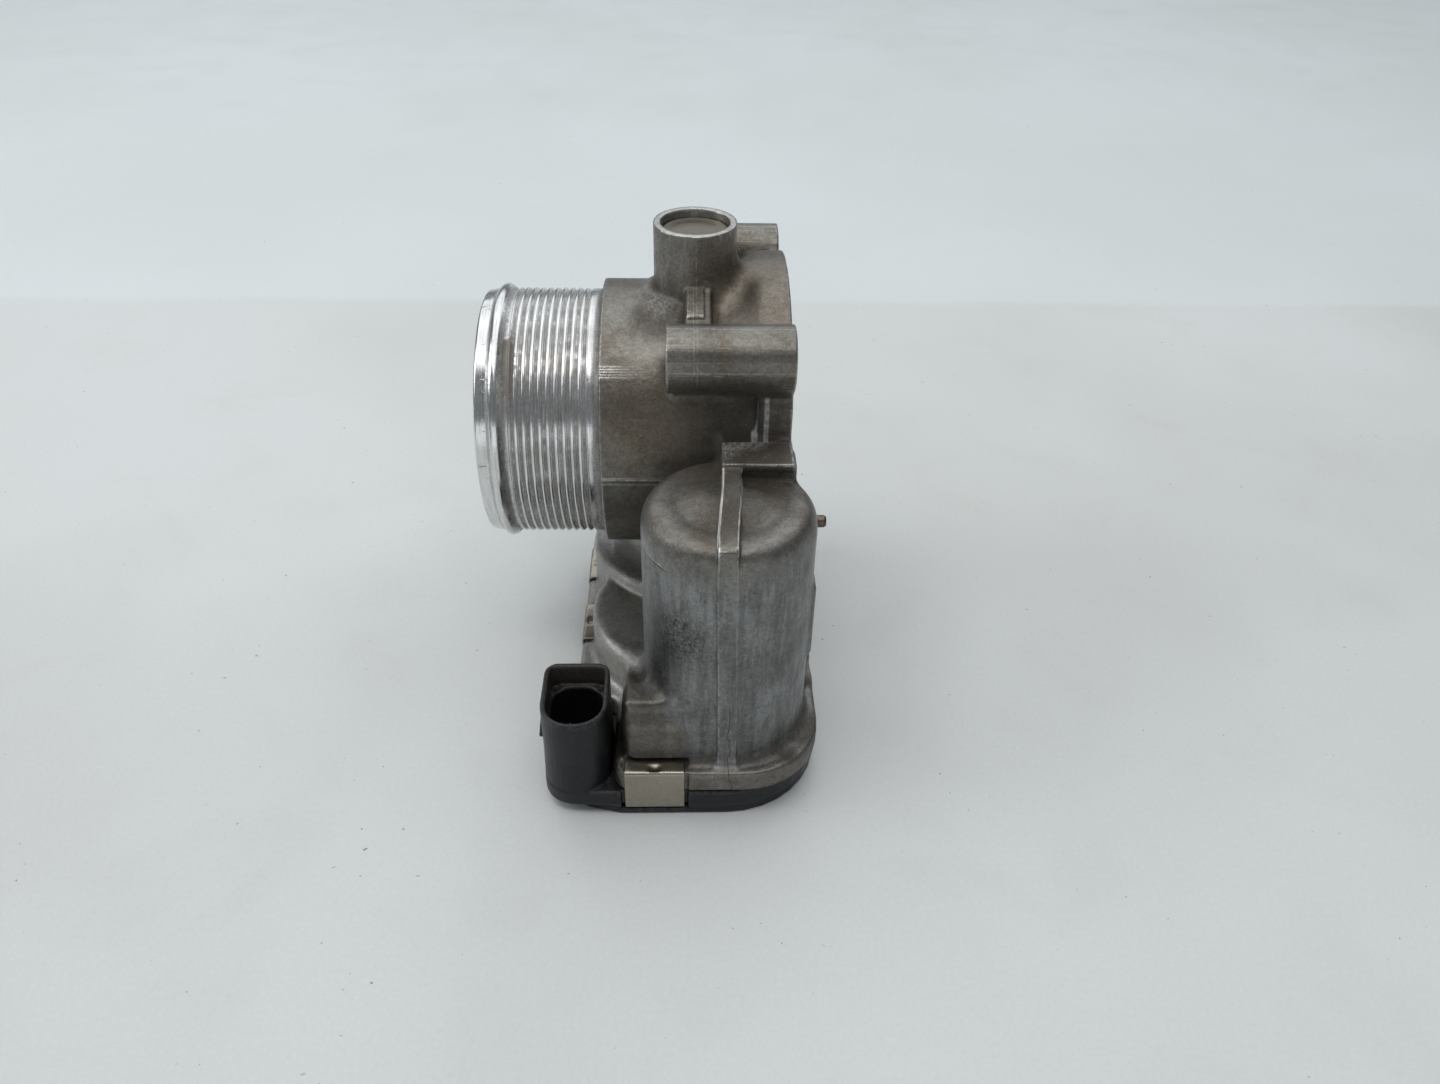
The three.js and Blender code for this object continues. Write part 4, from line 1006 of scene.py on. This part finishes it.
# ------------------------------------------------------------------ cover and clips
COVER = [
    (-38.3, -80.6, 8),
    (-20, -81.1, 20),
    (32, -81.1, 24.3),
    (32, 34, 18),
    (-31.5, 34, 18),
    (-31.5, -52, 5),
    (-38.3, -55, 4),
]
COVER_FOOT = [(-31.5, -78, 7), (-19, -81.1, 12), (32, -81.1, 24.3), (32, 34, 18), (-31.5, 34, 18)]
SEAL_LINE = [RIM[0], (32, -81.1, 24.3)] + RIM[2:]
SOCKET = (-29.75, -69.3)
TERMINALS = [(SOCKET[0] + row * 2.6, SOCKET[1] + k * 5) for row in (-1, 1) for k in (-1, 0, 1)]


def four_sided(cx, cy, half_width, front_reach, back_reach, front_r, back_r):
    """An outline with one radius at its front corners and another at its back ones."""
    x0, x1, y0, y1 = cx - half_width, cx + half_width, cy - front_reach, cy + back_reach
    return outline([(x0, y0, front_r), (x1, y0, front_r), (x1, y1, back_r), (x0, y1, back_r)])


def tower_plan(inwards):
    """The connector tower's outline: its front end is nearly half round."""
    (cx, cy), w, d = SOCKET, 8.3 - inwards, 11.1 - inwards
    front, back = 7.9 - inwards, 3.6 - inwards
    return four_sided(cx, cy, w, d, d, front, back)


def make_cover():
    step = 0.36
    f = Field((-40.5, -83, -1.2), (33.5, 35.5, 33), step)
    f.join(prism("z", outline(COVER_FOOT), 0.04, RIM_Z0 - 0.25, 0.5))
    f.join(prism("z", outline(COVER), 3.05, RIM_Z0 - 0.25, 0.6), 0.5)
    plan = tower_plan(0.02)

    def tower(x, y, z):
        foot = 0.24 * np.clip((17 - z) / 9, 0, 1)
        return extruded(polygon_distance(plan, x, y) - foot, z, 3.05, 31, 0.35)

    f.join((tower, [-38.4, -80.7, 3], [-21, -57.9, 31]), 0.2)
    cx, cy = SOCKET
    catch = [(cx - 9.5, 18.2), (cx - 7, 18.2), (cx - 7, 27.4), (cx - 8.3, 27.4)]
    f.join(prism("y", catch, cy - 2.4, cy + 2.4, 0.2), 0.3)
    f.cut(prism("z", outline(inset(RIM, 4.4)), 2.4, 9))
    groove = outline(inset(SEAL_LINE, 1.2))
    inner = outline(inset(SEAL_LINE, 3.2))

    def ring(x, y, z):
        flat = np.maximum(polygon_distance(groove, x, y), -polygon_distance(inner, x, y))
        return extruded(flat, z, RIM_Z0 - 1.6, 12, 0)

    f.cut((ring, [-33, -82, 6.4], [33, 35, 12]))
    f.cut(prism("z", four_sided(cx, cy, 6.4, 9.3, 8.6, 6.3, 5), 9.5, 40), 0.3)
    f.cut(prism("z", tower_plan(1.25), 24.8, 40), 0.8)
    for corner in (-1, 1):
        f.cut(rod("z", (cx + corner * 5.7, cy + 8.4), 1.3, 24.4, 40), 0.2)
    for x, y in TERMINALS:
        f.cut(block((x - 0.7, y - 1.05, 7.2), (x + 0.7, y + 1.05, 10.5)))
    clip_rooms(f)
    verts, quads = f.surface()
    ob = mesh_from("cover", verts, quads)
    thin_out(ob, COVER_TRIANGLES)
    co = points_of(ob)
    paint(ob, "edge", f.sample(f.crowding(1.0), co))
    inside = -polygon_distance(plan, co[:, 0], co[:, 1])
    paint(ob, "mouth", np.clip((inside - 0.7) / 0.3, 0, 1) * (co[:, 2] > 23))
    return finish_piece(ob, PLASTIC, "housing", ["gear_cover"])


def make_clip(name):
    """A strip of spring steel bent over the rim and under the cover."""
    cx, cy, facing = CLIPS[name]
    thick = 0.58
    high, low, out = CLIP_TOP - 0.01 - thick / 2, CLIP_FOOT + 0.01 + thick / 2, thick / 2 - 0.24
    centre = [(4.4, high), (out, high), (out, low), (3.38, low)]
    line = [Vector(p) for p in rounded(centre, 0.85, 6)]
    arm = [line[0] + (line[1] - line[0]) * k / 12 for k in range(12)]
    line = arm + line[1:]
    sides = []
    for s in (1, -1):
        row = []
        for i, p in enumerate(line):
            a, b = line[max(0, i - 1)], line[min(len(line) - 1, i + 1)]
            d = (b - a).normalized()
            row.append(p + Vector((-d.y, d.x)) * s * thick / 2)
        sides.append(row)
    section = sides[0] + sides[1][::-1]
    half = 7.44
    stations = [-half, -half + 0.12, -5, -2.6, -2, -1.2, -0.4, 0.4, 1.2, 2, 2.6, 5, half - 0.12, half]
    verts, faces = [], []
    n = len(section)
    for j, x in enumerate(stations):
        trim = 0.1 if j in (0, len(stations) - 1) else 0.0
        for i, p in enumerate(section):
            q = Vector(p)
            mate = section[n - 1 - i]
            q += (Vector(mate) - q).normalized() * trim
            # A pressed dimple in the top fold.
            top = p.y > CLIP_TOP - 1
            dip = 0.5 * max(0, 1 - (x / 1.5) ** 2) * max(0, 1 - ((p.x - 1.7) / 1.3) ** 2) if top else 0
            verts.append((x, q.x, q.y - dip))
    for j in range(len(stations) - 1):
        for i in range(n):
            k = (i + 1) % n
            faces.append((j * n + i, j * n + k, (j + 1) * n + k, (j + 1) * n + i))
    me = bpy.data.meshes.new("clip")
    ends = []
    for j in (0, len(stations) - 1):
        for i in range(n // 2 - 1):
            ends.append((j * n + i, j * n + i + 1, j * n + n - 2 - i, j * n + n - 1 - i))
    me.from_pydata([tuple(c * MM for c in v) for v in verts], [], faces + ends)
    bm = bmesh.new()
    bm.from_mesh(me)
    bmesh.ops.recalc_face_normals(bm, faces=bm.faces)
    bm.to_mesh(me)
    bm.free()
    turn = Matrix.Translation((cx * MM, cy * MM, 0)) @ Matrix.Rotation(math.radians(facing + 90), 4, "Z")
    me.transform(turn)
    ob = placed("spring_clip_" + name, me)
    finish_piece(ob, CLIP, "housing", ["cover_clip_" + name])
    edges = ob.modifiers.new("edges", "BEVEL")
    edges.width, edges.segments, edges.limit_method = 0.08 * MM, 2, "ANGLE"
    edges.harden_normals = False
    return ob


def make_terminals():
    for i, (x, y) in enumerate(TERMINALS, 1):
        bm = bmesh.new()
        rings = []
        for z, size in ((7.65, 1), (14.2, 1), (15.0, 0.72), (15.35, 0.4)):
            w, d = 0.34 * size, 0.68 * size
            corners = [(x - w, y - d), (x + w, y - d), (x + w, y + d), (x - w, y + d)]
            rings.append([bm.verts.new((cx * MM, cy * MM, z * MM)) for cx, cy in corners])
        for low, high in zip(rings, rings[1:]):
            for q in range(4):
                bm.faces.new((low[q], low[(q + 1) % 4], high[(q + 1) % 4], high[q]))
        bm.faces.new(rings[0][::-1])
        bm.faces.new(rings[-1])
        me = bpy.data.meshes.new("terminal")
        bm.to_mesh(me)
        bm.free()
        ob = placed("terminal_%d" % i, me)
        finish_piece(ob, BRASS, "housing", ["connector_pin_%d" % i])
        ob.data.polygons.foreach_set("use_smooth", np.zeros(len(ob.data.polygons), bool))


make_casting()
make_spigot()
make_cap()
make_pin()
make_throttle()
make_cover()
for clip_name in CLIPS:
    make_clip(clip_name)
make_terminals()

BELL = moulded("bell_plastic", (0.03, 0.03, 0.032), (0.018, 0.018, 0.02))
CARRIED = (
    (RUBBER, "cover_seal shaft_seal"),
    (STEEL, "upper_bearing lower_bearing intermediate_gear_pin return_spring motor_can"),
    (STEEL, "motor_screw_1 motor_screw_2 motor_wave_spring"),
    (NYLON, "sector_gear intermediate_gear"),
    (COPPER, "sensor_target motor_armature"),
    (BELL, "motor_end_bell"),
    (BRASS, "motor_pinion motor_terminal_1 motor_terminal_2"),
    (FERRITE, "motor_magnet_left motor_magnet_right motor_brush_1 motor_brush_2"),
    (BOARD, "sensor_board"),
)
for carried_mat, node_names in CARRIED:
    for node_name in node_names.split():
        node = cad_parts[node_name]
        node.data.materials.clear()
        node.data.materials.append(carried_mat)


# ------------------------------------------------------------------ floor, light and camera
def make_floor():
    s = Surface("floor")
    broad = s.noise(260, 3, 0.5)
    patch = s.noise(40, 5, 0.6, 0.5)
    fine = s.noise(1.2, 4, 0.7)
    colour = s.mix(s.ramp(broad, 0.35, 0.65), (0.60, 0.615, 0.60), (0.665, 0.685, 0.68))
    colour = s.mix(s.ramp(patch, 0.5, 0.75, 0, 0.16), colour, (0.52, 0.53, 0.50))
    behind = s.fade(s.add(s.y, s.mul(s.less(s.noise(120, 2), 0.5), 8 * MM)), 222, 232)
    colour = s.mix(s.mul(behind, 0.55), colour, (0.70, 0.76, 0.77))
    crumb = s.mul(s.ramp(s.noise(2.0, 2, 0.5), 0.735, 0.76), s.ramp(s.noise(30, 2), 0.45, 0.6))
    colour = s.mix(s.mul(crumb, 0.75), colour, (0.10, 0.085, 0.07))
    colour = s.tint(colour, s.ramp(fine, 0.3, 0.7, 0.975, 1.02))
    dull = s.ramp(patch, 0.3, 0.7, 0.45, 0.6)
    mat = s.set(Base_Color=colour, Roughness=dull, Normal=s.bump(fine, 0.05, 0.3))
    n, row = 24, 25
    xs, ys = np.linspace(-1400, 1400, row), np.linspace(-700, 2200, row)
    verts = [(x, y, 0) for y in ys for x in xs]
    starts = [j * row + i for j in range(n) for i in range(n)]
    faces = [(k, k + 1, k + row + 1, k + row) for k in starts]
    ob = mesh_from("floor", np.array(verts, float), np.array(faces))
    ob.data.materials.append(mat)


def area_light(name, where, aim, size, power, colour=(1, 1, 1)):
    data = bpy.data.lights.new(name, "AREA")
    data.shape, data.size, data.size_y = "RECTANGLE", size[0], size[1]
    data.energy, data.color = power, colour
    ob = placed(name, data)
    ob.location = where
    ob.rotation_euler = (Vector(aim) - Vector(where)).to_track_quat("-Z", "Y").to_euler()


def make_light():
    world = bpy.data.worlds.new("room")
    bpy.context.scene.world = world
    world.use_nodes = True
    world.node_tree.nodes["Background"].inputs[0].default_value = (0.88, 0.94, 1.0, 1)
    world.node_tree.nodes["Background"].inputs[1].default_value = 0.2
    area_light("overhead", (-0.1, 0.25, 1.5), (-0.1, 0.25, 0), (2.4, 1.5), 13, (0.97, 0.985, 1.0))
    area_light("lamp", (-0.15, -0.42, 1.45), (0, 0, 0.05), (1.4, 0.25), 4.0, (1.0, 0.975, 0.94))
    area_light("back", (0, 1.7, 1.4), (0, 0.35, 0), (3.4, 1.6), 18, (0.93, 0.97, 1.0))
    area_light("window", (-1.4, 0.0, 0.85), (0, 0, 0.06), (0.7, 0.7), 5.6, (0.95, 0.98, 1.0))
    area_light("horizon", (-0.1, -1.3, 0.2), (0, 0, 0.08), (2.6, 0.5), 3.0, (0.96, 0.98, 1.0))


def make_camera():
    """The viewpoint: about 350 mm off, looking down at about 37 degrees."""
    data = bpy.data.cameras.new("camera")
    data.sensor_width, data.lens = 36, 27.52
    data.clip_start, data.clip_end = 0.01, 20
    ob = placed("camera", data)
    yaw, pitch, roll = (math.radians(a) for a in (2.28, 36.71, 1.33))
    forward = Vector((math.sin(yaw) * math.cos(pitch), math.cos(yaw) * math.cos(pitch), -math.sin(pitch)))
    right = Vector((math.cos(yaw), -math.sin(yaw), 0))
    up = right.cross(forward)
    c, s = math.cos(roll), math.sin(roll)
    right, up = c * right + s * up, c * up - s * right
    turn = Matrix((right, up, -forward)).transposed().to_4x4()
    ob.matrix_world = Matrix.Translation(Vector((-2.6, -265.04, 223.61)) * MM) @ turn
    bpy.context.scene.camera = ob


make_floor()
make_light()
make_camera()
bpy.context.scene.view_settings.view_transform = "Standard"
